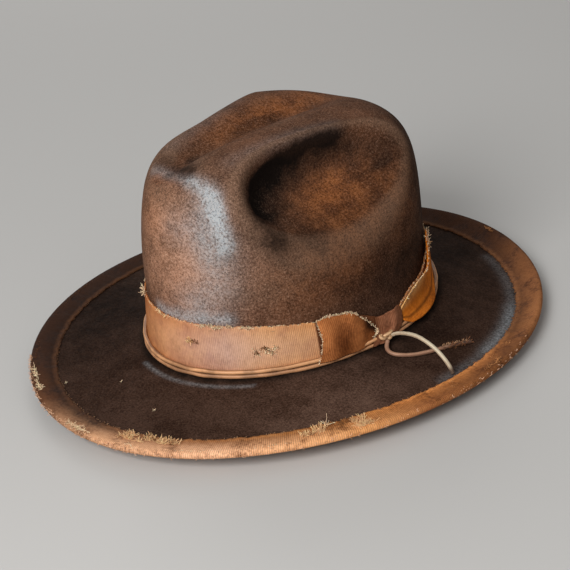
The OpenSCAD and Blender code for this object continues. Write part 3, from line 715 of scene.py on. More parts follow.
def grosgrain(name, rib, wear, ribbed=0.25, stained=0.0, depth=0.00022, bleach=(1.3, 1.4, 1.5)):
    """Ribbed ribbon in the piece's own dye: rib is the width of a rib, and depth its height.

    Wear bleaches it and rubs it brown in blotches, ribbed is how dark the painted shade in the
    grooves between its ribs is, and stained darkens it in wide clouds.
    """
    look = Look(name)
    uv = look.where("UV")
    ribs = (look.part(uv, "X") * (2 * math.pi / rib)).maths("SINE") * 0.5 + 0.5
    thread = look.noise(1, 2, 0.6, look.node("ShaderNodeVectorMath", {"operation": "MULTIPLY"},
                                             {0: uv, 1: (1500, 500, 1)}))
    cloud, blotch, fleck = look.noise(32, 4, 0.65), look.noise(70, 5, 0.65), look.noise(500, 4, 0.7)
    dye = look.painted("dye")
    dye = look.mix(dye, look.tinted(dye, (0.66, 0.6, 0.72)), cloud.step(0.42, 0.62) * stained)
    colour = look.mix(dye, look.tinted(dye, bleach), (blotch * 0.8 + fleck).step(0.8, 1.1) * wear)
    grime = (blotch + fleck * 0.6).step(0.8, 0.55, 0, 0.8) * wear
    # Painted shade in the grooves between the ribs, darker threads and real grime darken it together.
    shadow = ribs.step(0.5, 0, 0, ribbed) + thread.step(0.5, 0.3, 0, 0.2) + grime
    colour = look.mix(colour, look.tinted(dye, (0.22, 0.16, 0.12)), shadow.clamped())
    return look.done(colour, blotch.step(0.3, 0.7, 0.7, 0.9), ribs * 0.8 + thread * 0.4, depth, 0.8,
                     Specular_IOR_Level=0.1)


binding_ring = ring(900)
binding_a = binding_ring[0]
inner_edge = binding_w + 0.5 * waver(binding_a, 37)
under_edge = binding_w + 0.3 * waver(binding_a, 31, 4)
pucker = 0.22 * waver(binding_a, 29, 2)
over_shares = np.array([1, 0.985, 0.9, 0.72, 0.5, 0.28, 0.06])[:, None]
top_w = over_shares * inner_edge
under_w = np.array([0.06, 0.5, 1])[:, None] * under_edge
top_off = binding_out + smooth(0.1, 0.9, top_w / binding_w) * pucker
top_off[0] = binding_in + 0.2
binding_rows = np.concatenate([
    brim_point(binding_ring, from_rim(binding_ring, top_w), top_off),
    rim_point(binding_ring, binding_out, np.array([50, 20, -20, -50])[:, None]),
    brim_point(binding_ring, from_rim(binding_ring, under_w), -binding_out),
    brim_point(binding_ring, from_rim(binding_ring, under_w[::-1]), -binding_in),
    rim_point(binding_ring, binding_in, np.array([-50, 0, 50])[:, None]),
    brim_point(binding_ring, from_rim(binding_ring, top_w[::-2]), binding_in)])
rim_row = len(top_w) + 1
binding_uv = weave_uv(ring_run(binding_rows[rim_row]), ring_run(binding_rows[:, 0]))
brim_binding = skin("binding_ribbon", binding_rows, (True, True), uv=binding_uv)
# Painted light and shade: both dyes are darker round the back and the wearer's right and lighter from the
# front round to the wearer's left.
inner_dye_and_shade = round_dye(
    binding_a, (0, (0.5, 0.18, 0.05)), (10, (0.42, 0.15, 0.045)), (24, (0.12, 0.045, 0.016)),
    (50, (0.13, 0.048, 0.018)), (75, (0.05, 0.018, 0.007)), (135, (0.035, 0.013, 0.005)),
    (225, (0.02, 0.008, 0.004)), (268, (0.025, 0.01, 0.005)), (280, (0.18, 0.07, 0.028)),
    (292, (0.26, 0.1, 0.035)), (320, (0.3, 0.11, 0.03)), (345, (0.56, 0.2, 0.055)))
outer_dye_and_shade = round_dye(
    binding_a, (0, (0.25, 0.09, 0.028)), (12, (0.18, 0.065, 0.022)), (30, (0.34, 0.13, 0.045)),
    (50, (0.24, 0.09, 0.032)), (75, (0.06, 0.022, 0.009)), (135, (0.04, 0.016, 0.008)),
    (225, (0.04, 0.015, 0.007)), (250, (0.11, 0.042, 0.018)), (272, (0.6, 0.31, 0.16)),
    (300, (0.8, 0.43, 0.24)), (332, (0.7, 0.31, 0.11)), (345, (0.36, 0.13, 0.042)))
# The dye changes from the inner edge out to the rim, and that edge itself is a little lighter.
outward = np.ones((len(binding_rows), 1, 1))
outward[:len(over_shares)] = smooth(0, 1, 1 - over_shares)[..., None]
binding_dye_and_shade = inner_dye_and_shade * (1 - outward) + outer_dye_and_shade * outward
binding_dye_and_shade[:3] = binding_dye_and_shade[:3] * [1.3, 1.35, 1.3] + [0.05, 0.02, 0.008]
paint(brim_binding, "dye", binding_dye_and_shade.reshape(-1, 3))
keep(brim_binding, grosgrain("binding_grosgrain", 0.0013, 0.8, ribbed=0.4), "binding", "brim_binding")


class Growth:
    """A geometry node tree that grows one shape on every point of a piece, with named sizes."""

    def __init__(self, name, **sizes):
        self.tree = bpy.data.node_groups.new(name, "GeometryNodeTree")
        self.sizes = sizes
        self.tree.interface.new_socket("Geometry", in_out="INPUT", socket_type="NodeSocketGeometry")
        for label in sizes:
            self.tree.interface.new_socket(label, in_out="INPUT", socket_type="NodeSocketFloat")
        self.tree.interface.new_socket("Geometry", in_out="OUTPUT", socket_type="NodeSocketGeometry")
        self.given = self.tree.nodes.new("NodeGroupInput").outputs

    def node(self, kind, settings, sockets, out=0):
        made = self.tree.nodes.new(kind)
        for name, value in settings.items():
            setattr(made, name, value)
        for name, value in sockets.items():
            if isinstance(value, bpy.types.NodeSocket):
                self.tree.links.new(value, made.inputs[name])
            else:
                made.inputs[name].default_value = value
        return made.outputs[out]

    def maths(self, operation, first, second):
        return self.node("ShaderNodeVectorMath", {"operation": operation}, {0: first, 1: second})

    def vector(self, x, y, z):
        return self.node("ShaderNodeCombineXYZ", {}, {"X": x, "Y": y, "Z": z})

    def read(self, name):
        """A vector that every point carries."""
        return self.node("GeometryNodeInputNamedAttribute", {"data_type": "FLOAT_VECTOR"}, {"Name": name})

    def length(self, name):
        """The length of a vector that every point carries."""
        return self.node("ShaderNodeVectorMath", {"operation": "LENGTH"}, {0: self.read(name)}, out=1)

    def on_points(self, shape, turn, scale):
        sockets = {"Points": self.given["Geometry"], "Instance": shape, "Rotation": turn, "Scale": scale}
        placed = self.node("GeometryNodeInstanceOnPoints", {}, sockets)
        return self.node("GeometryNodeRealizeInstances", {}, {"Geometry": placed})

    def done(self, geometry, material):
        real = self.node("GeometryNodeRealizeInstances", {}, {"Geometry": geometry})
        dressed = self.node("GeometryNodeSetMaterial", {}, {"Geometry": real, "Material": material})
        self.tree.links.new(dressed, self.tree.nodes.new("NodeGroupOutput").inputs[0])

    def grow(self, name, points, dye, **vectors):
        """One plain mesh of all that the tree grows on the points, which are in millimetres."""
        mesh = bpy.data.meshes.new(name + "_points")
        mesh.from_pydata(place(points).tolist(), [], [])
        for key, value in vectors.items():
            mesh.attributes.new(key, "FLOAT_VECTOR", "POINT").data.foreach_set("vector", value.ravel())
        piece = bpy.data.objects.new(name, mesh)
        paint(piece, "dye", np.broadcast_to(dye, (len(points), 3)))
        scene.collection.objects.link(piece)
        grower = piece.modifiers.new("grow", "NODES")
        grower.node_group = self.tree
        for item in self.tree.interface.items_tree:
            if item.name in self.sizes:
                grower[item.identifier] = self.sizes[item.name]
        bpy.context.view_layer.update()
        evaluated = piece.evaluated_get(bpy.context.evaluated_depsgraph_get())
        grown = bpy.data.meshes.new_from_object(evaluated)
        piece.modifiers.clear()
        piece.data = grown
        return piece


look = Look("stitching_thread")
strand = look.noise(2400, 3, 0.6)
colour = look.mix(look.painted("dye"), (0.03, 0.012, 0.005), strand.step(0.6, 0.35, 0, 0.5))
thread = look.done(colour, strand.step(0.3, 0.7, 0.7, 0.9), strand, 0.0001, 0.6, Specular_IOR_Level=0.25)
stitcher = Growth("stitches", width=0.00022, height=0.00016)
bead = stitcher.node("GeometryNodeMeshUVSphere", {}, {"Segments": 8, "Rings": 5, "Radius": 1.0})
slim = stitcher.vector(1.0, stitcher.given["width"], stitcher.given["height"])
stretch = stitcher.vector(stitcher.length("along"), 1.0, 1.0)
turn = stitcher.node("FunctionNodeAxesToRotation", {"primary_axis": "X", "secondary_axis": "Z"},
                     {"Primary Axis": stitcher.read("along"), "Secondary Axis": stitcher.read("up")})
stitcher.done(stitcher.on_points(bead, turn, stitcher.maths("MULTIPLY", slim, stretch)), thread)


def stitch_row(name, at, ahead, up, length, dye, node):
    """Stitches of one length in millimetres, at points of a seam that runs on to points ahead."""
    along = unit(ahead - at) * length / 2000
    keep(stitcher.grow(name, at, dye, along=along, up=unit(up)), thread, "thread", node)


def binding_seam(a):
    return brim_point(a, from_rim(a, binding_w - seam_in), binding_out + seam_over)


stitch_a = ring(stitch_count)[0]
# Like the binding, the stitches are darker round the back and the wearer's right, as painted shade.
stitch_dye = round_dye(
    stitch_a, (0, (0.4, 0.17, 0.06)), (90, (0.12, 0.05, 0.02)), (225, (0.04, 0.016, 0.008)),
    (270, (0.05, 0.02, 0.01)), (310, (0.4, 0.2, 0.09)))
stitch_row("binding_stitch_row", binding_seam(stitch_a), binding_seam(stitch_a + 0.3),
           brim_frame(stitch_a, 0.9 + 0 * stitch_a)[1], stitch_length, stitch_dye, "binding_stitches")


# ---- Ribbon band ---------------------------------------------------------------------------
# The wide grosgrain ribbon is drawn round the foot of the crown and tacked down. Its ribs stand
# upright, its top edge is frayed, and the bow pulls that edge down at the wearer's left.
ribbon_t = 1
ribbon_out = lie_gap + ribbon_t
tack_in, tack_length = 3, 2.6


def along_points(v, *stops):
    """Reads a line through stops, each a place and its value."""
    return np.interp(v, [stop[0] for stop in stops], [stop[1] for stop in stops])


def ribbon_top(a):
    """The height of the ribbon's top edge, which the bow pulls down round angle 3."""
    return along_points(
        turned(a, 0), (-180, 38.2), (-105, 38), (-90, 37.6), (-63, 36.2), (-47, 34), (-34, 31.4), (-24, 29),
        (-14, 23), (-6, 18), (3, 16), (8, 17.5), (13.5, 22), (18, 23.5), (26, 24.5), (30, 26.5), (38, 30.5),
        (50, 34.5), (70, 37.6), (90, 38.2), (180, 38.2))


ribbon_ring = ring(1000)
ribbon_a = ribbon_ring[0]
ragged_top = ribbon_top(ribbon_a) + 0.45 * waver(ribbon_a, 43, 1)
ribbon_shares = np.array([0, 0.02, 0.2, 0.4, 0.6, 0.8, 0.93, 0.985, 1])[:, None]
swell = 0.25 * waver(ribbon_ring, 11, 5) * np.sin(np.pi * ribbon_shares) ** 0.5
ribbon_z = ribbon_foot + ribbon_shares * (ragged_top - ribbon_foot)
outer_off = ribbon_out + 0.15 + swell
outer_off[[0, -1]] = ribbon_out - 0.3
ribbon_rows = np.concatenate([wall_point(ribbon_ring, ribbon_z, outer_off),
                              wall_point(ribbon_ring, ribbon_z[::-2], lie_gap)])
middle_row = len(ribbon_shares) // 2
ribbon_rise = np.concatenate([ribbon_z[:, 0], ribbon_z[::-2, 0], ribbon_z[:1, 0]]) / 1000
ribbon_uv = weave_uv(ring_run(ribbon_rows[middle_row]), ribbon_rise)
ribbon_band = skin("ribbon_drawn", ribbon_rows, (True, True), uv=ribbon_uv)
ribbon_dye = round_dye(
    ribbon_ring, (0, (0.4, 0.19, 0.09)), (30, (0.34, 0.15, 0.065)), (90, (0.3, 0.15, 0.08)),
    (200, (0.36, 0.17, 0.09)), (240, (0.48, 0.18, 0.06)), (262, (0.64, 0.3, 0.14)), (280, (0.64, 0.34, 0.2)),
    (296, (0.57, 0.34, 0.25)), (312, (0.66, 0.37, 0.21)), (330, (0.64, 0.33, 0.16)))
edge_dye = ribbon_dye * [0.98, 0.86, 0.68]
height = np.concatenate([ribbon_shares, ribbon_shares[::-2]])
middle = (smooth(0, 0.35, height) * smooth(1, 0.65, height))[..., None]
paint(ribbon_band, "dye", (edge_dye + (ribbon_dye - edge_dye) * middle).reshape(-1, 3))
keep(ribbon_band, grosgrain("ribbon_grosgrain", 0.0012, 0.25, stained=0.6), "ribbon", "ribbon_band")

tack_a = np.array([-150.0, -110, -70, -45, 75, 120, 165])
tack_z = ribbon_top(tack_a) - tack_in
tack_off = ribbon_out + 0.45
tack_at = wall_point(tack_a, tack_z, tack_off)
stitch_row("ribbon_tack_stitches", tack_at, wall_point(tack_a + 0.5, tack_z, tack_off), tack_at * [1, 1, 0],
           tack_length, (0.5, 0.3, 0.16), "ribbon_tacks")


# ---- Side bow ------------------------------------------------------------------------------
# The flat bow is folded from the same ribbon: a wide front loop with worn cut edges, a wrap
# that gathers it, and a rear loop that scoops up and back in bright orange.
bow_in = ribbon_out + lie_gap
bow_t = 0.9


def cloth_piece(name, a, z, off, thick):
    """A closed sheet over a grid of angles and heights, its outer face off millimetres out."""
    a, z, off, thick = np.broadcast_arrays(a, z, off, thick)
    outer = wall_point(a, z, off)
    grid = np.concatenate([outer, wall_point(a, z, off - thick)[::-1]])
    run = run_of(length_of(np.diff(outer, axis=1)).mean(axis=0))
    rise = z.mean(axis=1) / 1000
    uv = weave_uv(np.append(run, run[-1]), np.concatenate([rise, rise[::-1], rise[:1]]))
    return skin(name, grid, (True, False), uv=uv, ends=True)


def bow_piece(name, a, z, off, dye, flat, *nodes):
    """A piece of the bow, coloured over the grid of angles and heights that it lies on; on the loops and the
    wrap the colour carries painted light and shade.
    """
    piece = cloth_piece(name, a, z, off, bow_t)
    dye = np.broadcast_to(dye, np.broadcast_shapes(np.shape(a), np.shape(z)) + (3,))
    paint(piece, "dye", np.concatenate([dye, dye[::-1]]).reshape(-1, 3))
    keep(piece, bow_grosgrain, "bow", *nodes)


def dyed(dye, added, share):
    """A dye to which a share of another is added, over a grid of shares: on the bow, a share of painted
    light.
    """
    return np.array(dye) + np.array(added) * share[..., None]


# Over each piece, rise goes from 0 at its foot to 1 at its crest, and run from its front end
# to its rear one.
bow_grosgrain = grosgrain("bow_grosgrain", 0.0012, 0.5, depth=0.00025, bleach=(1.4, 1.6, 1.8))
rise = np.linspace(0, 1, 36)[:, None]
run = np.linspace(0, 1, 60)[None, :]

back_a = -29 + 24 * run
back_crest = along_points(back_a, (-29, 30), (-20, 31), (-12, 26), (-5, 20))
bow_piece("bow_front_loop_back", back_a, 5 + rise * (back_crest - 5), bow_in + bow_t, (0.12, 0.04, 0.015),
          (0.025, 0.04))

front_end = along_points(rise, (0, -30.3), (0.13, -29.3), (0.3, -28.5), (0.57, -27.8), (0.83, -28.4),
                         (1, -28.8))
rear_end = along_points(rise, (0, -9), (0.3, -8), (0.6, -6.8), (1, -6))
loop_a = front_end + (rear_end - front_end) * run
loop_crest = along_points(loop_a, (-30, 31), (-26.5, 33), (-20.3, 32.3), (-17.3, 31.8), (-14.3, 29),
                          (-12.3, 25), (-10, 21.5), (-8, 16.8), (-6, 12))
loop_foot = along_points(loop_a, (-30, 4.4), (-9, 4.6), (-6, 8))
loop_z = loop_foot + rise * (loop_crest - loop_foot)
loop_wave = np.sin(10 * run + 2.5 * rise)
loop_fold = 1.6 * loop_wave * run * (1 - run) * 3 + 0.5 * np.sin(23 * run - 6 * rise) * rise
loop_bulge = np.sin(np.pi * np.minimum(1, 0.12 + run)) * (0.55 + 0.45 * np.sin(np.pi * rise))
loop_off = bow_in + 2.2 + 2.8 * loop_bulge + loop_fold * 0.5
# Painted light on the loop's outward folds and its front top, and painted shade at its rear top, where the
# wrap gathers it.
loop_light = (0.5 + 0.5 * loop_wave) * 0.6 + 0.5 * smooth(0.7, 0.1, run) * smooth(0.3, 1, rise)
loop_shade = 1 - 0.85 * smooth(0.72, 0.86, run) * smooth(0.45, 0.8, rise)
loop_dye_lit_and_shaded = dyed((0.16, 0.045, 0.011), (0.34, 0.125, 0.04), loop_light) * loop_shade[..., None]
bow_piece("bow_front_loop_face", loop_a, loop_z, loop_off, loop_dye_lit_and_shaded, (0.028, 0.034), "bow_front_loop")

wrap_z = 2.8 + 17.5 * rise
wrap_front = along_points(wrap_z, (2.8, -9.4), (6, -8), (8.5, -6.8), (12, -6), (20.5, -6))
wrap_rear = along_points(wrap_z, (2.8, -1.3), (4.5, 2.8), (6.8, 5), (10.5, 6.3), (16, 6.5), (20.5, 5.5))
wrap_a = wrap_front + (wrap_rear - wrap_front) * run
wrap_off = bow_in + 2.6 + 1.2 * np.sin(np.pi * run) + 0.35 * np.sin(14 * run - 2 * rise)
# The wrap is painted lighter across its bulging middle, as painted light.
wrap_dye_and_light = dyed((0.13, 0.045, 0.018), (0.22, 0.09, 0.048), np.sin(np.pi * run))
bow_piece("bow_wrap_band", wrap_a, wrap_z, wrap_off, wrap_dye_and_light, (0.018, 0.02), "bow_wrap")

scoop_a = 6.5 + 35.5 * run
scoop_crest = along_points(scoop_a, (6.5, 18), (9.5, 22), (13.5, 26), (17.8, 28), (26.3, 29), (29.8, 31.5),
                           (36, 38), (42, 43.5))
scoop_foot = along_points(scoop_a, (6.5, 9), (10, 5), (15, 4.2), (30, 5), (36, 12), (42, 30))
scoop_z = scoop_foot + rise * (scoop_crest - scoop_foot)
scoop_bulge = np.sin(np.pi * np.minimum(1, 0.15 + run * 0.95))
scoop_off = bow_in + 1.2 + scoop_bulge * (1.2 + 3.4 * (2 * rise - 1) ** 2)
# Painted light on the rear loop's upper front end, and painted shade along a crease near its foot and in a
# hollow in its middle.
scoop_light = smooth(0.45, 1, rise) * smooth(0.7, 0.2, run)
scoop_fold_shade = 0.6 * bell(rise - 0.2 - 0.1 * run, 0.05) + 0.35 * bell(rise - 0.55, 0.2) * bell(run - 0.35, 0.25)
scoop_dye_lit_and_shaded = dyed((0.6, 0.16, 0.014), (0.1, 0.2, 0.11), scoop_light) * (1 - scoop_fold_shade)[..., None]
bow_piece("bow_rear_loop_scoop", scoop_a, scoop_z, scoop_off, scoop_dye_lit_and_shaded, (0.03, 0.05), "bow_rear_loop")


# ---- Leather lace: the two turns and the knot ----------------------------------------------
# The thong is wound twice round the ribbon's foot, the upper turn paler than the lower one, and
# an overhand knot holds both turns at the foot of the bow's wrap.
lace_off = ribbon_out + lie_gap + lace_d / 2
turn_w, turn_h = 2.6, 2.7
lower_z = felt_t / 2 + 0.6 + lace_d / 2
upper_z = lower_z + lace_d + lie_gap
# Turned half round, the dark bands on the turns and the knot lie where they press together, as painted shade.
tan_leather = leather("tan_leather", (0.66, 0.33, 0.15), (0.09, 0.032, 0.012), edges=math.pi)
red_leather = leather("red_leather", (0.5, 0.24, 0.11), (0.05, 0.018, 0.008), edges=math.pi)
knot_leather = leather("knot_leather", (0.7, 0.43, 0.22), (0.2, 0.09, 0.04), edges=math.pi)
lace_a = ring(400)[0]
for name, z, material, node in (("lace_upper", upper_z, tan_leather, "lace_upper_turn"),
                                ("lace_lower", lower_z, red_leather, "lace_lower_turn")):
    path = wall_point(lace_a, z + 0.12 * waver(lace_a, 7, z), lace_off + 0.2 * waver(lace_a, 5, z))
    keep(tube(name, path, turn_w, turn_h, closed=True, ripple=0.015), material, "lace", node)

knot_at, knot_half_w, knot_half_h = -3.4, 1.35, 0.75
tied_w, tied_h = 2.5, 2.3
knot_turn = np.linspace(0, 2 * np.pi, 90, endpoint=False)
knot_aside = knot_half_w * (np.sin(knot_turn) + 2 * np.sin(2 * knot_turn))
knot_z = upper_z + 0.3 + knot_half_h * (np.cos(knot_turn) - 2 * np.cos(2 * knot_turn))
knot_off = lace_off + 2 - 1.5 * np.sin(3 * knot_turn)
knot_path = wall_point(knot_at + np.degrees(knot_aside / crown_half_w), knot_z, knot_off)
knot = tube("lace_knot_tied", knot_path, tied_w, tied_h, closed=True, ripple=0.02)
keep(knot, knot_leather, "lace_end", "lace_knot")


# ---- Sweatband, reed and tape --------------------------------------------------------------
# A strip of calf leather lines the opening. Its lower edge is sewn over a stiff reed, which a
# cotton tape holds at the brim break, and a seam with a little satin bow closes it at the back.
leather_t, sweatband_h, reed_d, tape_t, satin_t, lining_gap = 1.2, 44, 1.6, 0.35, 0.4, 0.8
lining_off, tape_out = -felt_t - lining_gap, -felt_t - lie_gap
tape_r = reed_d / 2 + lie_gap
tape_h = 9
reed_off, reed_z = tape_out - tape_t - tape_r, -felt_t / 2 - 0.2
tape_in = reed_off - tape_r
leather_out = lining_off - satin_t - 2 * lie_gap
leather_in, leather_foot = leather_out - leather_t, reed_z + tape_r
strip_half_w, tie_half_w, tie_half_h, tie_z = 5, 12, 4.5, 12
tie_knot_w, tie_knot_t, tie_knot_half_h = 3.4, 1.1, 2.3


def woven(name, light, dark, thread, shine=0.4):
    """Plain cloth: two sets of fine threads that cross, in a tone that varies a little."""
    look = Look(name)
    uv = look.where("UV")
    warp, weft = ((look.part(uv, axis) * (2 * math.pi / thread)).maths("SINE") for axis in "XY")
    stain = look.noise(45, 4, 0.6)
    colour = look.mix(light, dark, (stain.step(0.35, 0.7) * 0.7 + warp * weft * 0.15).clamped())
    roughness = stain.step(0.3, 0.7, shine, shine + 0.12)
    return look.done(colour, roughness, warp * weft * 0.5, thread / 4, 0.6)


look = Look("sweatband_calf")
pores, crease, sweat = look.noise(1500, 3, 0.6), look.noise(140, 5, 0.6, warp=0.6), look.noise(14, 3)
colour = look.mix((0.2, 0.085, 0.035), (0.075, 0.03, 0.014), sweat.step(0.35, 0.65))
colour = look.mix(colour, (0.03, 0.014, 0.008), crease.step(0.56, 0.7) * 0.6)
calf = look.done(colour, sweat.step(0.3, 0.7, 0.38, 0.6), pores * 0.3 + crease * 0.8, 0.0003, 0.5)
band_a = ring(300)
band_z = np.array([leather_foot, leather_foot + 0.4, 6, 14, 24, 34, sweatband_h - 0.6, sweatband_h])[:, None]
band_wave = 0.15 * waver(band_a, 9, 3)
band_rows = np.concatenate([wall_point(band_a, band_z, leather_out + band_wave),
                            wall_point(band_a, band_z[::-1], leather_in + band_wave)])
band_rise = np.concatenate([band_z, band_z[::-1], band_z[:1]])[:, 0] / 1000
band_uv = weave_uv(ring_run(band_rows[0]), band_rise)
sweatband = skin("sweatband_leather", band_rows, (True, True), uv=band_uv)
keep(sweatband, calf, "sweat_leather", "sweatband")


def turn_of(width):
    """The angle at the hat's back that a width in millimetres takes."""
    return math.degrees(math.atan(width / crown_half_w))


aside = np.linspace(-1, 1, 15)[None, :]
strip_z = leather_foot + 1 + (sweatband_h - leather_foot - 2) * np.linspace(0, 1, 40)[:, None]
strip = cloth_piece("sweatband_seam_strip", 90 + turn_of(strip_half_w) * aside, strip_z, leather_in - lie_gap,
                    0.25 + 0.35 * (1 - aside ** 4))
keep(strip, calf, "sweat_leather", "sweatband_seam")

aside = np.linspace(-1, 1, 61)[None, :]
upward = np.linspace(-1, 1, 17)[:, None]
tie_a = 90 + turn_of(tie_half_w) * aside
aside = np.abs(aside)
waist = 0.34 + 0.66 * np.sin(np.pi / 2 * aside) ** 0.8
tie_h = tie_half_h * waist * np.sqrt(1 - 0.55 * aside ** 12)
tie_off = leather_in - 2 * lie_gap - 0.6
puff = 0.3 + np.sin(np.pi * aside) ** 0.6 * (1 - upward ** 4) + 0.12 * np.sin(9 * upward) * aside
tie = cloth_piece("sweatband_bow_loops", tie_a, tie_z + tie_h * upward, tie_off, puff)
bow_satin = woven("bow_satin", (0.14, 0.06, 0.035), (0.07, 0.03, 0.018), 0.0004)
keep(tie, bow_satin, "satin", "sweatband_bow")
upward = np.linspace(-1, 1, 12)
tie_knot = tube("sweatband_bow_knot", wall_point(90, tie_z + tie_knot_half_h * upward, tie_off - 0.75),
                tie_knot_w * np.sqrt(1 - 0.7 * upward ** 4), tie_knot_t, up=(0, 1, 0))
keep(tie_knot, bow_satin, "satin")

sew_a = ring(122)[0]
sew_a = sew_a[np.abs(turned(sew_a, 90)) > 6]
sew_z, sew_off, sew_length = 1.5, leather_in - 0.1, 2.8
sew_at = wall_point(sew_a, sew_z, sew_off)
stitch_row("sweatband_stitch_row", sew_at, wall_point(sew_a + 0.5, sew_z, sew_off), -sew_at * [1, 1, 0],
           sew_length, (0.5, 0.4, 0.27), "sweatband_stitches")

look = Look("reed_plastic")
tint = look.noise(80, 3)
colour = look.mix((0.72, 0.68, 0.58), (0.55, 0.5, 0.4), tint.step(0.4, 0.6))
reed = look.done(colour, tint.step(0.3, 0.7, 0.3, 0.45), tint, 0.0001, 0.3)
reed_path = wall_point(band_a[0], reed_z, reed_off)
keep(tube("sweatband_reed_cord", reed_path, reed_d, sides=10, closed=True), reed, "reed", "sweatband_reed")

bend = np.radians(np.linspace(0, 180, 9))
bend_z, bend_off = -np.sin(bend), np.cos(bend)
tape_z = np.concatenate([[tape_h, 4, 1], reed_z + (tape_r + tape_t) * bend_z, [leather_foot - lie_gap] * 2,
                         reed_z + tape_r * bend_z[::-1], [1, 4, tape_h]])
tape_offs = np.concatenate([[tape_out] * 3, reed_off + (tape_r + tape_t) * bend_off,
                            [tape_in - tape_t, tape_in], reed_off + tape_r * bend_off[::-1],
                            [tape_out - tape_t] * 3])
tape_rows = wall_point(band_a, tape_z[:, None], tape_offs[:, None])
tape_uv = weave_uv(ring_run(tape_rows[0]), ring_run(np.stack([tape_z, tape_offs], axis=-1)))
tape = skin("reed_tape_folded", tape_rows, (True, True), uv=tape_uv)
keep(tape, woven("cotton_tape", (0.5, 0.43, 0.32), (0.3, 0.24, 0.17), 0.0005, 0.75), "tape", "reed_tape")


# ---- Lining --------------------------------------------------------------------------------
# Brown satin lines the crown and follows its dents: a side band, an oval tip under the crown's
# top, and a corded piping over the seam between them. The band's ends are shares of the
# crown's height, and the tip's edge and the piping's line are shares of its width.
band_low, band_high = 0.15, 0.972
tip_share, piping_share, piping_d = 0.62, 0.69, 2
satin = woven("brown_satin", (0.12, 0.055, 0.032), (0.06, 0.026, 0.016), 0.0004)
satin_out = spread(crown_out + lining_off * crown_normal, 2, 3)
satin_in = spread(crown_out + (lining_off - satin_t) * crown_normal, 2, 3)


def lining(name, picked, poles, node):
    outer, inner = satin_out[picked], satin_in[picked]
    rows = np.concatenate([outer, inner[::-1]])
    rise = np.append(rows[:, 0, 2], rows[0, 0, 2]) / 1000
    widest = rows[0 if poles is None else len(outer) - 1]
    uv = weave_uv(ring_run(widest), rise)
    piece = skin(name, rows, (poles is None, True), poles or (None, None), uv)
    keep(piece, satin, "satin", node)


side_rows = (crown_angles <= angle_at_height(band_high)) & (crown_angles > angle_at_height(band_low))
tip_rows = crown_angles > angle_at_radius(tip_share)
tip_ends = (crown_top + [0, 0, lining_off], crown_top + [0, 0, lining_off - satin_t])
lining("lining_side_band", side_rows, None, "liner_side")
lining("lining_oval_tip", tip_rows, tip_ends, "liner_tip")
piping_row = np.argmin(np.abs(crown_angles - angle_at_radius(piping_share)))
piping_path = spread(crown_out + (lining_off - piping_d / 2) * crown_normal, 2, 3)[piping_row]
piping = tube("lining_piping_cord", piping_path, piping_d, closed=True, ripple=0.03, up=(1, 0, 0.01))
keep(piping, satin, "satin", "liner_piping")


# ---- Frayed threads ------------------------------------------------------------------------
# Years of wear have pulled short threads out of every cut edge: a fringe along the binding and
# the ribbon, tufts where they have torn, pale edges on the bow and a burst end on the lace.
# A few curls of lint lie on the brim.
rng = np.random.default_rng(11)
frays = []
gold, cream, tan = (0.96, 0.58, 0.3), (0.98, 0.69, 0.45), (0.5, 0.22, 0.08)
# The shaded and deep threads are dark threads set among the pale ones in the tufts, as painted shade.
shaded, deep = (0.24, 0.1, 0.035), (0.2, 0.08, 0.025)


def fray(starts, aims, length, dye, loose):
    """Loose threads of about one length in millimetres, which start at points and lean along aims."""
    aims = unit(np.broadcast_to(aims, starts.shape) + loose * rng.normal(size=starts.shape))
    dyes = np.minimum(np.asarray(dye) * rng.uniform(0.7, 1.3, (len(starts), 1)), 0.96)
    frays.append((starts, aims * length / 1000 * rng.uniform(0.5, 1.25, (len(starts), 1)), dyes))


def clumps(count):
    """Places between about -1 and 1 in both ways, most of them round a few centres."""
    centres = rng.uniform(-1, 1, (1 + count // 22, 2))
    return (centres[rng.integers(0, len(centres), count)] + 0.16 * rng.normal(size=(count, 2))).T


def brim_tuft(a, w, spread_a, spread_w, count, length, dye, outward, upward):
    """A torn spot of the binding at an angle, w millimetres inside the rim, and how far it spreads."""
    aside, inward = clumps(count)
    a = a + spread_a * aside
    w = np.maximum(0.2, w + spread_w * inward)
    along, over = brim_frame(a, from_rim(a, w))
    fray(brim_point(a, from_rim(a, w), binding_out + 0.05), outward * along + upward * over, length, dye, 0.9)


def wall_tuft(a, z, spread_a, spread_z, count, length, dye):
    """A torn spot of the ribbon at an angle and a height, and how far it spreads."""
    aside, higher = clumps(count)
    a = a + spread_a * aside
    z = z + spread_z * higher
    outward = unit(wall_point(a, z, 1) - wall_point(a, z, 0))
    fray(wall_point(a, z, ribbon_out + 0.2), 0.6 * outward + [0, 0, 0.4], length, dye, 0.6)


edge_a = rng.uniform(0, 360, 620)
edge_s = from_rim(edge_a, np.interp(edge_a, binding_a, inner_edge))
edge_along, edge_over = brim_frame(edge_a, 0.9 + 0 * edge_a)
# Like the binding, the fringe is darker round the back and the wearer's right, as painted shade.
edge_dye = round_dye(edge_a, (0, (0.4, 0.17, 0.06)), (90, (0.12, 0.05, 0.02)), (225, (0.08, 0.035, 0.016)),
                     (300, (0.45, 0.26, 0.14)))
fray(brim_point(edge_a, edge_s, binding_out - 0.2), 0.25 * edge_over - edge_along, 0.8, edge_dye, 0.5)
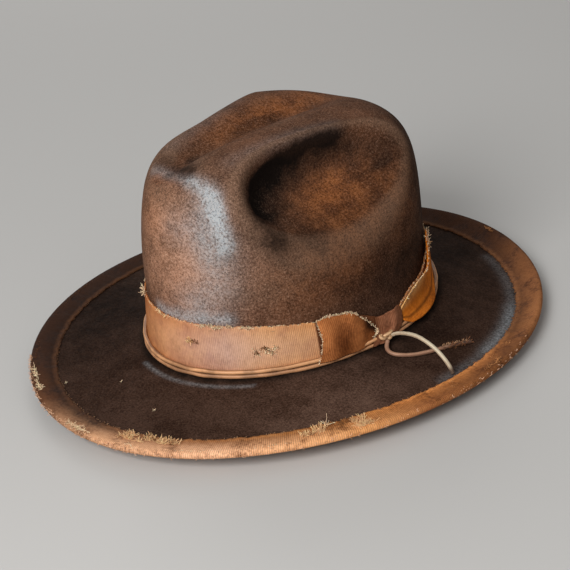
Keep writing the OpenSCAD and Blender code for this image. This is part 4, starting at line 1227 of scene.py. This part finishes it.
# The dark tufts at 130 and 210 degrees carry the same painted shade.
for torn in ((264, 0.4, 6, 0.4, 190, 3.4, cream, 1, -0.6), (240, 0.6, 5, 0.8, 110, 2.6, cream, 1, 0.1),
             (281, 10, 3.8, 3.4, 170, 3.2, gold, 0.2, 0.3), (288, 11, 4, 3, 190, 3.2, gold, 0, 0.3),
             (285, 10, 6, 4, 70, 2.4, shaded, 0, 0.3), (282, 0.5, 0.5, 0.4, 18, 3.6, cream, 0.7, -0.9),
             (322, 9, 3, 3.4, 190, 3.2, gold, 0, 0.4), (325, 8, 6, 4, 70, 2.2, shaded, 0, 0.3),
             (325, 12.5, 1, 2, 14, 6, cream, -0.4, 0.4), (331, 11, 2, 3, 90, 3.2, gold, 0, 0.4),
             (331, 3, 4, 2.2, 190, 3, gold, 0.2, 0.4), (352, 8, 9, 4, 40, 1.2, tan, 0, 0.5),
             (5, 0.6, 3, 0.5, 70, 2.4, tan, 0.8, 0), (16, 6, 6, 4, 30, 1.2, tan, 0, 0.5),
             (74, 0.8, 4, 0.8, 34, 1.6, tan, 0.6, 0.5),
             (210, 1, 24, 1, 60, 1.3, (0.1, 0.04, 0.016), 0.7, 0.2),
             (130, 1, 24, 1, 60, 1.3, (0.12, 0.05, 0.02), 0.7, 0.2),
             (305, 0.6, 16, 0.6, 60, 1, cream, 0.9, -0.2)):
    brim_tuft(*torn)

crest_a = rng.uniform(0, 360, 520)
crest_z = np.interp(crest_a, ribbon_a, ragged_top)
fray(wall_point(crest_a, crest_z - 0.2, ribbon_out), [0, 0, 1], 0.9, cream, 0.5)
for torn in ((-68, 36, 6, 0.7, 120, 2, cream), (-56, 34.6, 3, 0.7, 60, 1.9, cream),
             (-79, 25.2, 3, 1.6, 60, 2, gold), (-79, 25.2, 3, 1.6, 24, 1.6, deep),
             (-49, 18.5, 4, 1.8, 120, 2.2, cream), (-49, 18.5, 4.4, 2, 50, 1.8, deep),
             (-122, 36, 3.5, 2.4, 60, 3.4, cream), (-98, 37.2, 7, 0.6, 44, 1.6, gold),
             (49, 28, 3, 4, 20, 2.6, gold)):
    wall_tuft(*torn)

loop_face = wall_point(loop_a, loop_z, loop_off)
scoop_face = wall_point(scoop_a, scoop_z, scoop_off)
fray(loop_face[rng.integers(0, 36, 80), 0], (-0.35, -0.9, 0), 1, cream, 0.5)
fray(loop_face[-1, rng.integers(0, 60, 170)], (0.2, -0.1, 1), 1.5, cream, 0.6)
fray(loop_face[rng.integers(6, 36, 60), -1], (0.3, 0.6, 0.3), 1.5, cream, 0.6)
fray(scoop_face[-1, rng.integers(2, 60, 90)], (0.3, 0, 1), 1.1, cream, 0.6)
fray(scoop_face[rng.integers(18, 36, 26), rng.integers(50, 60, 26)], (0.2, 0.3, 1), 3.6, cream, 0.5)

lace_path = fit_spline(lying_route)
burst = lace_path[rng.integers(int(0.74 * len(lace_path)), len(lace_path), 120)]
burst_way = unit(lace_path[-1] - lace_path[-12]) + [0, 0, 0.5]
fray(burst + rng.normal(scale=0.9, size=burst.shape) * [1, 1, 0.5], burst_way, 2.6, (0.24, 0.1, 0.045), 0.8)
fray(burst[:40] + [0, 0, 1.2], (0, 0, 1), 1.5, (0.6, 0.36, 0.2), 0.9)

fringe_a = np.concatenate([rng.uniform(228, 306, 420), rng.uniform(306, 380, 120)])
fringe_out, fringe_up = brim_frame(fringe_a, 1 + 0 * fringe_a)
fringe_at = rim_point(fringe_a, binding_out, rng.uniform(-40, 50, len(fringe_a)))
fray(fringe_at, fringe_out + 0.1 * fringe_up, 1.5, (0.8, 0.48, 0.3), 0.8)
for lint in ((-59, -146, -5.4), (-26, -128, -2.6), (16, -140, -3.6)):
    fray(np.repeat([lint], 7, axis=0), (0, 0, 0.4), 1.2, cream, 1)

look = Look("frayed_cotton")
strand = look.noise(1800, 2, 0.6)
colour = look.mix(look.painted("dye"), (0.1, 0.045, 0.018), strand.step(0.6, 0.35, 0, 0.2))
cotton = look.done(colour, strand.step(0.3, 0.7, 0.75, 0.95), strand, 0.00005, 0.4, Specular_IOR_Level=0.2)
hair = Growth("frayed_threads", thickness=0.00034, waviness=0.002, seed=3.0)
line = hair.node("GeometryNodeCurvePrimitiveLine", {}, {"End": (0, 0, 1)})
line = hair.node("GeometryNodeResampleCurve", {}, {"Curve": line, "Count": 6})
turn = hair.node("FunctionNodeAlignRotationToVector", {"axis": "Z"}, {"Vector": hair.read("aim")})
line = hair.on_points(line, turn, hair.vector(1.0, 1.0, hair.length("aim")))
drift = hair.node("ShaderNodeTexNoise", {"noise_dimensions": "4D"},
                  {"W": hair.given["seed"], "Scale": 950.0}, out=1)
drift = hair.maths("SUBTRACT", drift, (0.5, 0.5, 0.5))
sway = hair.node("ShaderNodeMath", {"operation": "MULTIPLY"},
                 {0: hair.node("GeometryNodeSplineParameter", {}, {}), 1: hair.given["waviness"]})
drift = hair.node("ShaderNodeVectorMath", {"operation": "SCALE"}, {0: drift, "Scale": sway})
line = hair.node("GeometryNodeSetPosition", {}, {"Geometry": line, "Offset": drift})
radius = hair.node("ShaderNodeMath", {"operation": "MULTIPLY"}, {0: hair.given["thickness"], 1: 0.5})
round_wire = hair.node("GeometryNodeCurvePrimitiveCircle", {}, {"Resolution": 3, "Radius": radius})
hair.done(hair.node("GeometryNodeCurveToMesh", {}, {"Curve": line, "Profile Curve": round_wire}), cotton)
starts, aims, dyes = (np.vstack(column) for column in zip(*frays))
keep(hair.grow("frayed_threads", starts, dyes, aim=aims), cotton, "thread")


# ---- Floor ---------------------------------------------------------------------------------
# A plain pale floor that takes the hat's shadow. It is no part of the hat, and the hat stands
# on it on the lowest points of its rim.
floor_half = 4
floor_mesh = bpy.data.meshes.new("floor")
floor_mesh.from_pydata([(x * floor_half, y * floor_half, 0) for x, y in ((-1, -1), (1, -1), (1, 1), (-1, 1))],
                       [], [(0, 1, 2, 3)])
floor = bpy.data.objects.new("floor", floor_mesh)
scene.collection.objects.link(floor)
look = Look("pale_floor")
look.shader.inputs["Base Color"].default_value = (0.5, 0.49, 0.475, 1)
look.shader.inputs["Roughness"].default_value = 0.9
floor.data.materials.append(look.material)
